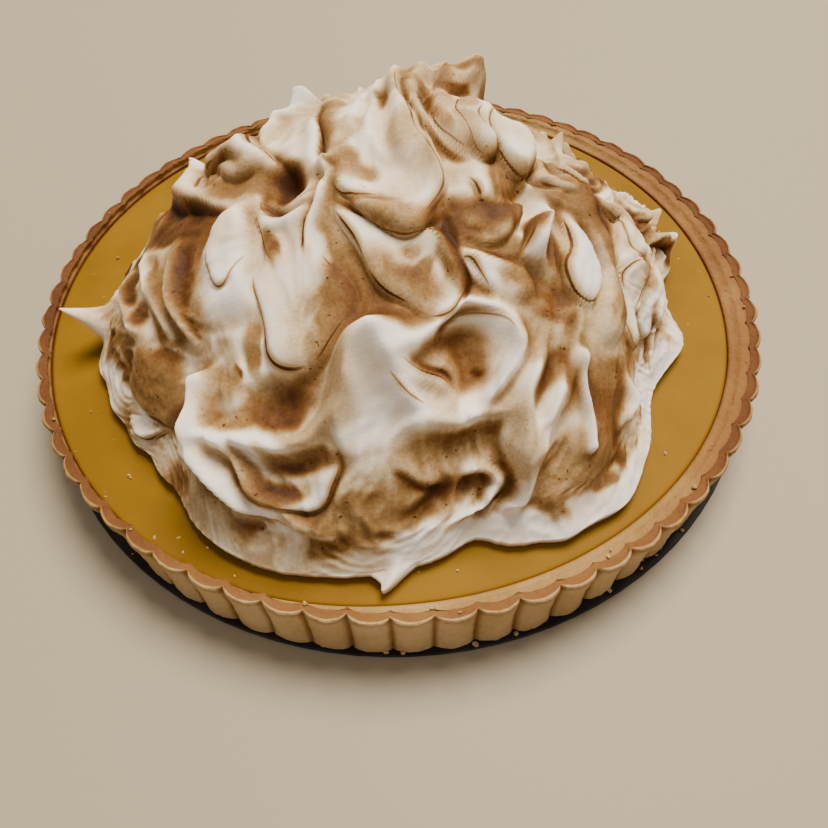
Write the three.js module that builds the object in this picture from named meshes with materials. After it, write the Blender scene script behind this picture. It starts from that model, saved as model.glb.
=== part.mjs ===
// A lemon meringue pie on the loose base of its fluted tart tin.
// Millimetres, +Z up, the origin on the table under the middle of the pie.
import * as THREE from "three";

// Driving dimensions
const pieRadius = 125;        // to the tips of the crust's flutes, a 250 mm tart tin
const fluteCount = 66;
const fluteDepth = 2.1;       // from the tip of a flute to the groove beside it
const fluteSteps = 4;         // points along one flute
const wallLean = 2.4;         // how much narrower the crust is at its foot
const rimHeight = 24;
const curdHeight = 20.5;
const tinRadius = 124.4;
const tinThickness = 1.2;
const floorThickness = 4.3;   // of the crust, under the curd
const clearance = 0.3;        // between pieces that touch
const moundHeight = 62.7;       // of the meringue's smooth mound, above its edge
const moundEdge = 2.6;        // height of the meringue's lower edge above the curd
const moundCells = 62;        // rows of cells across the meringue
const crownShift = [7, 12];   // of the top of the mound from the middle of the pie
const skinDepth = 3;          // thickness of the meringue's plain surface over the smooth mound
const relief = 1.8;           // how strongly ridges and lips stand out
const leastWidth = 3.5;       // of a fold, in hundredths of the way down the mound

const toRadians = Math.PI / 180;
const mix = (a, b, share) => a + (b - a) * share;
const clamp = (value) => Math.min(1, Math.max(0, value));
const ease = (low, high, value) => {
  const share = clamp((value - low) / (high - low));
  return share * share * (3 - 2 * share);
};

// A closed smooth outline through [bearing in degrees, radius] pairs, in rising order of bearing.
function ringRadius(pairs, angle) {
  const count = pairs.length;
  let bearing = angle / toRadians;
  while (bearing < pairs[0][0]) bearing += 360;
  while (bearing >= pairs[0][0] + 360) bearing -= 360;
  const at = (index) => {
    const turn = Math.floor(index / count);
    const pair = pairs[index - turn * count];
    return [pair[0] + 360 * turn, pair[1]];
  };
  let index = 0;
  while (at(index + 1)[0] <= bearing) index += 1;
  const [before, from, to, after] = [at(index - 1), at(index), at(index + 1), at(index + 2)];
  const span = to[0] - from[0];
  const share = (bearing - from[0]) / span;
  const slopeFrom = (to[1] - before[1]) / (to[0] - before[0]) * span;
  const slopeTo = (after[1] - from[1]) / (after[0] - from[0]) * span;
  const square = share * share;
  const cube = square * share;
  return (2 * cube - 3 * square + 1) * from[1] + (cube - 2 * square + share) * slopeFrom
    + (3 * square - 2 * cube) * to[1] + (cube - square) * slopeTo;
}

// The curd's edge: the rim is narrow at the left and wide at the right.
const curdEdge = [[-180, 120.6], [-148, 120.8], [-117, 120.6], [-88, 117.2], [-56, 115.5], [-25, 114.8],
  [5, 113.8], [50, 115.5], [100, 118.5], [145, 120.4]];

// The meringue's foot on the curd.
const moundFoot = [[-180, 96], [-163, 102], [-150, 104], [-134, 104], [-116, 112], [-103, 112], [-92, 108],
  [-80, 103], [-70, 108], [-55, 110], [-45, 104], [-34, 95], [-20, 98], [-5, 93], [8, 97], [25, 86],
  [45, 72], [65, 68], [90, 68], [120, 70], [140, 74], [160, 84]];

// How far the meringue's thin skirt runs out over the curd.
const moundApron = [[-180, 2], [-150, 5], [-120, 6], [-95, 3], [-75, 7], [-25, 8], [5, 4], [40, 1], [140, 1]];

// The share by which the meringue's shoulder sinks.
const moundSlump = [[-180, 0], [-60, 0], [-20, 0.05], [10, 0.3], [35, 0.45], [65, 0.3], [105, 0]];

// ---- rings of points joined into one closed solid ----

// Joins rings of equal length, first to last, and closes the two ends with fans.
function solidFromRings(rings) {
  const count = rings[0].length;
  const positions = [];
  const faces = [];
  for (const ring of rings) {
    for (const point of ring) positions.push(...point);
  }
  for (let level = 0; level + 1 < rings.length; level += 1) {
    for (let step = 0; step < count; step += 1) {
      const next = (step + 1) % count;
      const low = level * count;
      const high = low + count;
      faces.push(low + step, low + next, high + next, low + step, high + next, high + step);
    }
  }
  const bottomCentre = positions.length / 3;
  positions.push(0, 0, rings[0][0][2]);
  const topCentre = bottomCentre + 1;
  positions.push(0, 0, rings[rings.length - 1][0][2]);
  const last = (rings.length - 1) * count;
  for (let step = 0; step < count; step += 1) {
    const next = (step + 1) % count;
    faces.push(bottomCentre, next, step, topCentre, last + step, last + next);
  }
  return geometryFrom(positions, faces);
}

function geometryFrom(positions, faces) {
  const geometry = new THREE.BufferGeometry();
  geometry.setAttribute("position", new THREE.Float32BufferAttribute(positions, 3));
  geometry.setIndex(faces);
  geometry.computeVertexNormals();
  return geometry;
}

function ringOf(count, radiusAt, heightAt) {
  const ring = [];
  for (let step = 0; step < count; step += 1) {
    const angle = (step / count) * 2 * Math.PI;
    const radius = radiusAt(angle);
    ring.push([radius * Math.cos(angle), radius * Math.sin(angle), heightAt(angle)]);
  }
  return ring;
}

// ---- crust ----

// Rounded lobes that meet in sharp grooves.
function fluteDip(angle) {
  const turn = (angle / (2 * Math.PI)) * fluteCount;
  const share = turn - Math.floor(turn);
  return fluteDepth * (1 - Math.pow(Math.sin(Math.PI * share), 0.7));
}

// Slow unevenness of a hand-pressed edge, the same at opposite bearings.
const handWave = (angle) => 0.5 * Math.sin(4 * angle + 0.7) + 0.3 * Math.sin(10 * angle + 2.1);

function crustGeometry() {
  const count = fluteCount * fluteSteps;
  const outer = (angle) => pieRadius - fluteDip(angle);
  const inner = (angle) => ringRadius(curdEdge, angle);
  const crest = (angle) => rimHeight + 0.4 * handWave(angle);
  const bottom = tinThickness + clearance;
  return solidFromRings([
    ringOf(count, (angle) => outer(angle) - wallLean + 0.4 * handWave(angle), () => bottom),
    ringOf(count, (angle) => outer(angle), (angle) => crest(angle) - 1),
    ringOf(count, (angle) => outer(angle) - 0.9, crest),
    ringOf(count, (angle) => outer(angle) - 2.6, (angle) => crest(angle) - 0.5),
    ringOf(count, (angle) => inner(angle) + clearance, () => curdHeight - 0.4),
    ringOf(count, (angle) => inner(angle) - 4, () => bottom + floorThickness),
  ]);
}

// ---- curd ----

function fillingGeometry() {
  const count = 96;
  const edge = (angle) => ringRadius(curdEdge, angle);
  const bottom = tinThickness + clearance + floorThickness + clearance;
  return solidFromRings([
    ringOf(count, (angle) => edge(angle) - 4.5, () => bottom),
    ringOf(count, (angle) => edge(angle) - 0.15, () => curdHeight - 0.4),
    ringOf(count, (angle) => edge(angle) - 0.7, () => curdHeight),
  ]);
}

// ---- meringue ----
// Places on the mound are [across, away], in hundredths of the way from its top to its foot.

// The smooth mound's surface at a place.
function moundPoint(across, away) {
  const angle = Math.atan2(away, across);
  const way = Math.hypot(across, away) / 100;
  const turn = Math.min(way, 1) * Math.PI / 2;
  const apron = ringRadius(moundApron, angle);
  const body = (ringRadius(moundFoot, angle) - apron) * Math.pow(Math.sin(turn), 1.05);
  const radius = body + apron * ease(0.86, 1.02, way);
  const sunk = 1 - ringRadius(moundSlump, angle) * Math.sin(turn);
  const lift = moundHeight * Math.pow(Math.max(Math.cos(turn), 0), 1.35) * sunk;
  return new THREE.Vector3(
    crownShift[0] * (1 - way) + radius * Math.cos(angle),
    crownShift[1] * (1 - way) + radius * Math.sin(angle),
    curdHeight + moundEdge + lift,
  );
}

function moundNormal(across, away) {
  const step = 0.4;
  const reach = Math.hypot(across, away);
  const shrink = reach > 99 ? 99 / reach : 1;
  const [u, v] = [across * shrink, away * shrink];
  const alongU = moundPoint(u + step, v).sub(moundPoint(u - step, v));
  const alongV = moundPoint(u, v + step).sub(moundPoint(u, v - step));
  return alongU.cross(alongV).normalize();
}

// Folds are laid one over another, as a spoon leaves them. A sheet hides what is under it and may
// have raised lips along its left and right edge. A ridge is a sharp crest. A lip stands up at the
// left of its line and drops at the right. A swell is a soft rise, or a hollow under zero.
const sheet = (tail, middle, tip, wide, level, lips, dish) => (
  { kind: "sheet", line: [tail, middle, tip], wide, level, lips, dish });
const ridge = (tail, middle, tip, wide, rise) => ({ kind: "ridge", line: [tail, middle, tip], wide, rise });
const lip = (tail, middle, tip, rise, wide) => ({ kind: "lip", line: [tail, middle, tip], rise, wide });
const peak = (at, wide, rise, lean = [0, 0]) => ({ at, wide, rise, lean });
const swell = (at, size, turn, rise) => ({ kind: "swell", at, size, turn, rise });

const shownFolds = [
  // broad forms
  swell([2, 16], [24, 16], 0, 5),
  swell([11, 22], [13, 13], 0, 9),
  swell([-34, 10], [14, 8], 20, 1),
  swell([-27, -14], [8, 9], 10, -11),
  swell([22, -23], [8, 7], 0, -6),
  swell([-40, -34], [12, 14], 0, 4),
  swell([-6, -48], [12, 12], 0, 4),
  swell([38, -18], [12, 12], 0, 4),
  swell([56, -28], [12, 16], 0, 3),
  swell([-25, -53], [13, 7], 8, -6),
  swell([9, -69], [15, 6], 0, -2),
  // left shoulder
  sheet([-18, 26], [-23, 6], [-22, -8], [5, 5], 3, [0, 0], 1),
  lip([-25, -12], [-31, -3], [-40, 15], 3, [6, 4]),
  sheet([-50, 18], [-44, 10], [-36, 2], [4, 5], 6, [1, 2], 1),
  lip([-42, -10], [-46, 1], [-50, 9], 3, [4, 5]),
  lip([-61, 1], [-47, -6], [-35, -14], 5, [5, 9]),
  // left side
  ridge([-61, -12], [-57, -24], [-54, -38], 3, 3),
  ridge([-69, -14], [-67, -26], [-63, -36], 3, 3),
  ridge([-50, -18], [-49, -30], [-46, -42], 3, 4),
  sheet([-38, -16], [-36, -24], [-35, -34], [6.5, 8], 7, [1, 1], -2),
  lip([-26, -37], [-26.5, -29], [-30, -20], 3, [4, 3]),
  // pocket and leaf
  lip([-18, -21], [-23.5, -25], [-28.5, -19], 3, [4, 3]),
  sheet([-29, -19], [-28, -27], [-23.5, -34], [5, 2], 6.5, [2, 2.5], 3),
  ridge([-31, -15], [-30, -23], [-27, -31], 2.5, 3),
  lip([-15.5, -11], [-17.5, -19], [-19.5, -29], 5, [4, 4]),
  // tongues in the middle
  sheet([-17, -24], [-12, -36], [-7, -44], [6, 10], 3, [0, 0], 2),
  sheet([-14, -14], [-6, -26], [1, -35], [4, 6], 7, [2, 3], 3),
  sheet([-6, 30], [-10, 4], [1, -21], [9, 5.5], 7.5, [2, 3.5], 7),
  swell([-2, 18], [14, 9], 0, 3),
  lip([-14, -18], [-7, -24], [4, -26], 3, [3, 3]),
  sheet([13, 28], [12, 10], [9, -7], [8, 5.5], 8.5, [1.5, 2.5], 2),
  swell([14, 18], [11, 8], 20, 12),
  // right shoulder
  ridge([22, 10], [28, 8], [33, 0], 3, 4),
  sheet([16, 2], [15, -4], [14, -9], [4.5, 4.5], 8, [2, 2], -1.5),
  sheet([21, 0], [20.5, -6], [22, -12], [3.5, 4.5], 7, [2, 2], -1.5),
  lip([28, -6], [29, -14], [37, -18], 3, [4, 4]),
  lip([33, -4], [38, -10], [44, -12], 3, [3, 4]),
  lip([9.5, -17], [12.5, -21], [10, -27], 3, [2.5, 2]),
  sheet([10, -21], [14, -24.5], [20, -23], [4, 3], 4, [0.5, 2], 1),
  lip([26, -25], [24, -30], [20, -34], 3, [3, 2.5]),
  ridge([29, -24], [26, -29], [22, -35], 2.5, 4),
  swell([24, -37], [8, 4], -15, -3),
  sheet([38, -19], [46, -28], [43, -40], [4, 6], 6, [1.5, 1], -2),
  sheet([34, -27], [34.5, -32], [34, -37], [2, 4.5], 7, [2, 2.5], -1),
  lip([44, -16], [50, -12], [58, -8], 3, [4, 4]),
  sheet([50, -4], [54, -8], [56, -14], [4, 5], 6, [2, 2], 0),
  ridge([60, -12], [64, -14], [64, -20], 2.5, 3),
  sheet([68, -14], [70, -22], [66, -34], [5, 6], 4.5, [2, 1], -1),
  sheet([57, -20], [55, -29], [56, -40], [5, 6.5], 5.5, [2, 2], -2),
  swell([62, -44], [6, 8], 10, -5),
  lip([69, -27], [75, -39], [83, -52], 3, [4, 3]),
  sheet([9, -33], [13, -36], [18, -39], [2, 4], 5, [2, 0], 1),
  // front
  sheet([-24, -28], [-22, -36], [-20, -40.5], [6, 9], 5, [1.5, 2.5], 2.5),
  ridge([-45, -59], [-29, -62.5], [-14, -56], 3.5, 4),
  sheet([7, -43], [10, -51], [13, -60], [10.5, 2.5], 2, [1, 1], 4),
  ridge([-3, -50], [7, -42.5], [18, -47], 3.5, 4.5),
  ridge([18.5, -46], [18, -53], [12, -62], 3, 4),
  ridge([-44, -51], [-43, -61], [-35, -74], 4, 6),
  ridge([-34, -70], [-26, -76], [-16, -84], 4, 3),
  lip([-45, -61], [-38, -71], [-28, -78], 3, [3, 4]),
  ridge([-40, -60], [-33, -67], [-25, -75], 2.5, 3),
  swell([-22, -65], [8, 3.5], -5, -2),
  lip([-34, -67], [-20, -75], [-16, -60], 3, [4, 3]),
  sheet([-70, -36], [-64, -43], [-58, -49], [7, 8], 5, [1, 2], -2),
  lip([-79, -52], [-72, -59], [-61, -56], 3, [3, 3]),
  ridge([-7, -46], [-11, -53], [-14, -62], 5, 5),
  ridge([-7, -46], [-3, -52], [0, -61], 5, 4),
  ridge([0, -62], [10, -64], [21, -59], 5, 3),
  ridge([23, -51], [23.5, -66], [26, -85], 4.5, 7),
  ridge([30, -54], [28.5, -60], [25.5, -70], 3.5, 4),
  sheet([36, -60], [40, -71], [38, -79], [8, 11], 3.5, [0, 0], -1),
  ridge([34, -50], [34, -58], [37, -67], 2.5, 5),
  swell([3, -79], [6, 8], -25, -4),
  swell([11, -80], [4, 6], -35, -3),
  ridge([12, -75], [18, -76], [18.5, -84], 2.5, 3),
  ridge([18.5, -82], [16, -87], [9, -88], 2.5, 3.5),
  ridge([50, -52], [54, -58], [50, -62], 3, 3),
];

const shownPeaks = [
  peak([-15.5, -11], 3.5, 7, [0, 1.5]),
  peak([18, 19], 6, 8, [1, 0]),
  peak([2, 27], 5, 6.5, [0, 1]),
  peak([-44, -51.5], 4, 5, [0, 1]),
  peak([-7, -46], 9, 11, [0, 2]),
  peak([34, -50], 4, 6, [0, 1]),
  peak([-90, -12], 8, 24),
  peak([-3, -98], 7, 9, [-6, 0]),
];

// Strokes of the same kinds all round, placed by a seeded draw: what the named folds leave bare.
function looseFolds() {
  let seed = 4021;
  const draw = (low, high) => {
    seed = (seed * 16807) % 2147483647;
    return mix(low, high, seed / 2147483647);
  };
  const folds = [];
  for (let index = 0; index < 230; index += 1) {
    const bearing = ((360 * index * 0.618) % 360) * toRadians;
    const way = mix(14, 97, Math.sqrt((index * 0.7549) % 1));
    const heading = bearing + draw(-80, 80) * toRadians;
    const bend = draw(-0.7, 0.7);
    const reach = draw(5, 13);
    const middle = [way * Math.cos(bearing), way * Math.sin(bearing)];
    if (middle[1] < 16 - 0.2 * Math.abs(middle[0])) continue;
    const end = (side) => [
      middle[0] + side * reach * Math.cos(heading + side * bend),
      middle[1] + side * reach * Math.sin(heading + side * bend),
    ];
    if (index % 3 === 0) {
      folds.push(ridge(end(-1), middle, end(1), draw(3, 6), draw(3, 7)));
    } else if (index % 3 === 1) {
      const rise = draw(2, 5);
      folds.push(lip(end(-1), middle, end(1), rise, [draw(4, 7), draw(3, 6)]));
    } else {
      const wide = [draw(3, 5), draw(5, 8)];
      const lips = [draw(0, 2), draw(1, 3)];
      folds.push(sheet(end(-1), middle, end(1), wide, draw(1, 5), lips, draw(-1, 4)));
    }
  }
  return folds;
}

// How far along a fold's bent line a place is, how far beside it, and on which side.
function placeOnLine(line, across, away) {
  const [tail, middle, tip] = line;
  const steps = 16;
  let best = { gap: Infinity, along: 0, side: 0 };
  let from = tail;
  for (let step = 1; step <= steps; step += 1) {
    const share = step / steps;
    const bend = 2 * share * (1 - share);
    const to = [0, 1].map((axis) => {
      const pull = 2 * middle[axis] - (tail[axis] + tip[axis]) / 2;
      return (1 - share) ** 2 * tail[axis] + bend * pull + share ** 2 * tip[axis];
    });
    const run = [to[0] - from[0], to[1] - from[1]];
    const off = [across - from[0], away - from[1]];
    const part = clamp((off[0] * run[0] + off[1] * run[1]) / (run[0] ** 2 + run[1] ** 2));
    const gap = Math.hypot(off[0] - part * run[0], off[1] - part * run[1]);
    if (gap < best.gap) {
      const side = (run[0] * off[1] - run[1] * off[0]) / Math.hypot(run[0], run[1]);
      best = { gap, along: (step - 1 + part) / steps, side };
    }
    from = to;
  }
  return best;
}

function laySheet(fold, across, away, skin) {
  const { gap, along, side } = placeOnLine(fold.line, across, away);
  const width = Math.max(mix(fold.wide[0], fold.wide[1], along), leastWidth);
  const reach = gap / width;
  if (reach >= 1) return;
  const rim = mix(fold.lips[1], fold.lips[0], ease(-1, 1, side / width)) * ease(0, 0.4, along);
  const softness = mix(0.8, 0.25, clamp(rim / 2));
  const cover = (1 - ease(1 - softness, 1, reach)) * ease(-0.1, 0.35, along);
  const height = fold.level + rim * reach ** 3 - fold.dish * (1 - reach * reach);
  skin.height = mix(skin.height, height, cover);
}

function layRidge(fold, across, away, skin) {
  const { gap, along } = placeOnLine(fold.line, across, away);
  const reach = Math.min(gap / Math.max(fold.wide, leastWidth), 1);
  const taper = Math.sqrt(Math.sin(Math.PI * mix(0.05, 0.95, along)));
  skin.height += relief * fold.rise * (1 - reach) ** 1.7 * taper;
}

function layLip(fold, across, away, skin) {
  const { gap, along, side } = placeOnLine(fold.line, across, away);
  const taper = Math.sqrt(Math.sin(Math.PI * clamp(along)));
  const wide = Math.max(side > 0 ? fold.wide[0] : fold.wide[1], leastWidth);
  const share = (1 - Math.min(gap / wide, 1)) * taper;
  skin.height += relief * fold.rise * (side > 0 ? share ** 1.5 : -0.6 * share ** 2);
}

function layPeak(fold, across, away, skin) {
  const reach = Math.min(Math.hypot(across - fold.at[0], away - fold.at[1]) / fold.wide, 1);
  const point = (1 - reach) ** 2;
  skin.height += fold.rise * point;
  skin.slide = skin.slide.map((slide, axis) => slide + fold.lean[axis] * point);
}

function laySwell(fold, across, away, skin) {
  const [cos, sin] = [Math.cos(fold.turn * toRadians), Math.sin(fold.turn * toRadians)];
  const [offU, offV] = [across - fold.at[0], away - fold.at[1]];
  const [alongU, alongV] = [offU * cos + offV * sin, offV * cos - offU * sin];
  const reach = Math.hypot(alongU / fold.size[0], alongV / fold.size[1]);
  skin.height += fold.rise * (1 - Math.min(reach, 1) ** 2) ** 2;
}

const layers = { sheet: laySheet, ridge: layRidge, lip: layLip, swell: laySwell };

// Bends the places a little, so that no fold keeps a drawn curve's regular outline.
function wander(across, away) {
  const bendU = 1.1 * Math.sin(away / 5.3 + 1.7 * Math.sin(across / 8.1));
  const bendV = 1.1 * Math.sin(across / 6.1 + 1.9 * Math.sin(away / 7.7));
  return [across + bendU, away + bendV];
}

// The skin's height over the smooth mound at a place, before the peaks are drawn up.
function skinHeight(folds, across, away) {
  const [u, v] = wander(across, away);
  const wave = Math.sin(u / 7 + 1.3 * Math.sin(v / 9)) * Math.sin(v / 8 + 1.1 * Math.sin(u / 11));
  const skin = { height: skinDepth + 1.5 * wave };
  for (const fold of folds) layers[fold.kind](fold, u, v, skin);
  return skin.height;
}

// Evens out neighbouring heights of a square table, so that steep lips keep a clean face.
function softened(heights, side) {
  const at = (row, column) => {
    const clampedRow = Math.min(side - 1, Math.max(0, row));
    return heights[clampedRow * side + Math.min(side - 1, Math.max(0, column))];
  };
  return heights.map((height, index) => {
    const [row, column] = [Math.floor(index / side), index % side];
    let sum = 0;
    for (const down of [-1, 0, 1]) {
      for (const right of [-1, 0, 1]) {
        sum += (2 - Math.abs(down)) * (2 - Math.abs(right)) * at(row + down, column + right);
      }
    }
    return sum / 16;
  });
}

function skinPoint(height, across, away) {
  const skin = { height, slide: [0, 0] };
  for (const fold of shownPeaks) layPeak(fold, ...wander(across, away), skin);
  const lift = skin.height * mix(1, 0.45, ease(88, 100, Math.hypot(across, away)));
  const place = [across + skin.slide[0], away + skin.slide[1]];
  const point = moundPoint(...place).addScaledVector(moundNormal(...place), lift);
  point.z = Math.max(point.z, curdHeight + clearance + 1);
  return point.toArray();
}

// Square rows of cells, pressed into a round one: [across, away] for a row and column from -1 to 1.
function roundPlace(column, row) {
  if (column === 0 && row === 0) return [0, 0];
  if (Math.abs(column) > Math.abs(row)) {
    const angle = (Math.PI / 4) * (row / column);
    return [100 * column * Math.cos(angle), 100 * column * Math.sin(angle)];
  }
  const angle = (Math.PI / 4) * (column / row);
  return [100 * row * Math.sin(angle), 100 * row * Math.cos(angle)];
}

function meringueGeometry() {
  const folds = [...looseFolds(), ...shownFolds];
  const positions = [];
  const faces = [];
  const side = moundCells + 1;
  const places = [];
  for (let row = 0; row < side; row += 1) {
    for (let column = 0; column < side; column += 1) {
      places.push(roundPlace(2 * column / moundCells - 1, 2 * row / moundCells - 1));
    }
  }
  const heights = softened(places.map((place) => skinHeight(folds, ...place)), side);
  places.forEach((place, index) => positions.push(...skinPoint(heights[index], ...place)));
  // each cell is cut along its shorter diagonal, which keeps a steep lip's edge smooth
  const apart = (from, to) => (
    Math.hypot(...[0, 1, 2].map((axis) => positions[3 * from + axis] - positions[3 * to + axis])));
  for (let row = 0; row < moundCells; row += 1) {
    for (let column = 0; column < moundCells; column += 1) {
      const near = row * side + column;
      const far = near + side;
      if (apart(near, far + 1) < apart(near + 1, far)) {
        faces.push(near, near + 1, far + 1, near, far + 1, far);
      } else {
        faces.push(near, near + 1, far, near + 1, far + 1, far);
      }
    }
  }
  // the outer edge, counter-clockwise from the near left corner
  const edge = [];
  for (let step = 0; step < moundCells; step += 1) edge.push(step);
  for (let step = 0; step < moundCells; step += 1) edge.push(step * side + moundCells);
  for (let step = moundCells; step > 0; step -= 1) edge.push(moundCells * side + step);
  for (let step = moundCells; step > 0; step -= 1) edge.push(step * side);
  const bottom = curdHeight + clearance;
  const firstLow = positions.length / 3;
  for (const index of edge) {
    const [x, y] = [positions[3 * index], positions[3 * index + 1]];
    const shrink = 1 - 0.8 / Math.hypot(x, y);
    positions.push(x * shrink, y * shrink, bottom);
  }
  const centre = positions.length / 3;
  positions.push(0, 0, bottom);
  for (let step = 0; step < edge.length; step += 1) {
    const next = (step + 1) % edge.length;
    faces.push(firstLow + step, firstLow + next, edge[next], firstLow + step, edge[next], edge[step]);
    faces.push(centre, firstLow + next, firstLow + step);
  }
  return geometryFrom(positions, faces);
}

// ---- loose base of the tin ----

function tinGeometry() {
  const bevel = 0.3;
  const profile = [
    [0, 0], [tinRadius - bevel, 0], [tinRadius, bevel], [tinRadius, tinThickness - bevel],
    [tinRadius - bevel, tinThickness], [0, tinThickness],
  ];
  const geometry = new THREE.LatheGeometry(profile.map(([x, y]) => new THREE.Vector2(x, y)), 96);
  geometry.rotateX(Math.PI / 2);
  return geometry;
}

function piece(name, geometry, colour, roughness, metalness = 0) {
  const material = new THREE.MeshStandardMaterial({ color: colour, roughness, metalness });
  const mesh = new THREE.Mesh(geometry, material);
  mesh.name = name;
  return mesh;
}

const pie = new THREE.Group();
pie.add(piece("tin_base", tinGeometry(), "#17110e", 0.5, 0.3));
pie.add(piece("crust", crustGeometry(), "#c08a4e", 0.75));
pie.add(piece("filling", fillingGeometry(), "#c58f1e", 0.35));
pie.add(piece("meringue", meringueGeometry(), "#e8dccb", 0.6));

export default pie;
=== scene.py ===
from math import cos, pi, radians, sin

import bpy
import numpy as np
from mathutils import Matrix, Vector


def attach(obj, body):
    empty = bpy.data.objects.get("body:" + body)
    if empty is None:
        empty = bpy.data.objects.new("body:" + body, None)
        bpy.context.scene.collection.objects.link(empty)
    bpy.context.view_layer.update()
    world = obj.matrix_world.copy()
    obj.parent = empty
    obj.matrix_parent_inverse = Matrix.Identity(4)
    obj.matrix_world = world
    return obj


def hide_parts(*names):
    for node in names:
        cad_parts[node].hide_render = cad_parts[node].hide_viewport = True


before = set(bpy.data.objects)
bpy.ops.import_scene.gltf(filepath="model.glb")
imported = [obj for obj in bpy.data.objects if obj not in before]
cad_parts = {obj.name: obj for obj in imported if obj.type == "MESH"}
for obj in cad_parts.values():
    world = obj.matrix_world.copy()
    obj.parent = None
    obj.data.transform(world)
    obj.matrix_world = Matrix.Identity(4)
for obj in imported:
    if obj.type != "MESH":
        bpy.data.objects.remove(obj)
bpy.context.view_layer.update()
mm = 0.001

cameraSet = {
    "place": (0.0, -0.2029, 0.2185),
    "lookDown": 52.93,   # degrees under the horizon
    "turn": -1.28,
    "roll": -1.53,
    "lens": 33.91,       # for a 36 mm wide square picture
}


def setCamera(s):
    data = bpy.data.cameras.new("pieCamera")
    data.lens = s["lens"]
    data.sensor_width = 36
    data.clip_start = 0.01
    camera = bpy.data.objects.new("pieCamera", data)
    bpy.context.scene.collection.objects.link(camera)
    turn = Matrix.Rotation(radians(s["turn"]), 4, "Z")
    tilt = Matrix.Rotation(radians(90 - s["lookDown"]), 4, "X")
    roll = Matrix.Rotation(radians(s["roll"]), 4, "Z")
    camera.matrix_world = Matrix.Translation(s["place"]) @ turn @ tilt @ roll
    bpy.context.scene.camera = camera


setCamera(cameraSet)
print("camera placed")


def ease(low, high, value):
    share = limited((value - low) / (high - low))
    return share * share * (3 - 2 * share)


def mixed(a, b, share):
    return a + (b - a) * share


def limited(value):
    return np.clip(value, 0, 1)


# A closed smooth outline through (bearing in degrees, radius) pairs.
def ringRadius(pairs, angle):
    table = np.array(pairs, float)
    bearings = np.concatenate([table[-2:, 0] - 360, table[:, 0], table[:3, 0] + 360])
    radii = np.concatenate([table[-2:, 1], table[:, 1], table[:3, 1]])
    bearing = (np.degrees(angle) - table[0, 0]) % 360 + table[0, 0]
    index = np.clip(np.searchsorted(bearings, bearing, side="right") - 1, 1, len(bearings) - 3)
    span = bearings[index + 1] - bearings[index]
    share = (bearing - bearings[index]) / span
    slopeFrom = (radii[index + 1] - radii[index - 1]) / (bearings[index + 1] - bearings[index - 1]) * span
    slopeTo = (radii[index + 2] - radii[index]) / (bearings[index + 2] - bearings[index]) * span
    square = share ** 2
    cube = share ** 3
    start = (2 * cube - 3 * square + 1) * radii[index] + (cube - 2 * square + share) * slopeFrom
    return start + (3 * square - 2 * cube) * radii[index + 1] + (cube - square) * slopeTo


def ringPoints(angle, radius, height):
    return np.column_stack([radius * np.cos(angle), radius * np.sin(angle), height])


def meshObject(name, points, faces, material, smooth=True):
    mesh = bpy.data.meshes.new(name)
    mesh.from_pydata([tuple(p) for p in points], [], [tuple(f) for f in faces])
    mesh.polygons.foreach_set("use_smooth", [smooth] * len(mesh.polygons))
    mesh.materials.append(material)
    mesh.update()
    piece = bpy.data.objects.new(name, mesh)
    bpy.context.scene.collection.objects.link(piece)
    return piece


def addFloat(piece, name, values):
    layer = piece.data.attributes.new(name, "FLOAT", "POINT")
    layer.data.foreach_set("value", np.asarray(values, np.float32))


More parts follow.
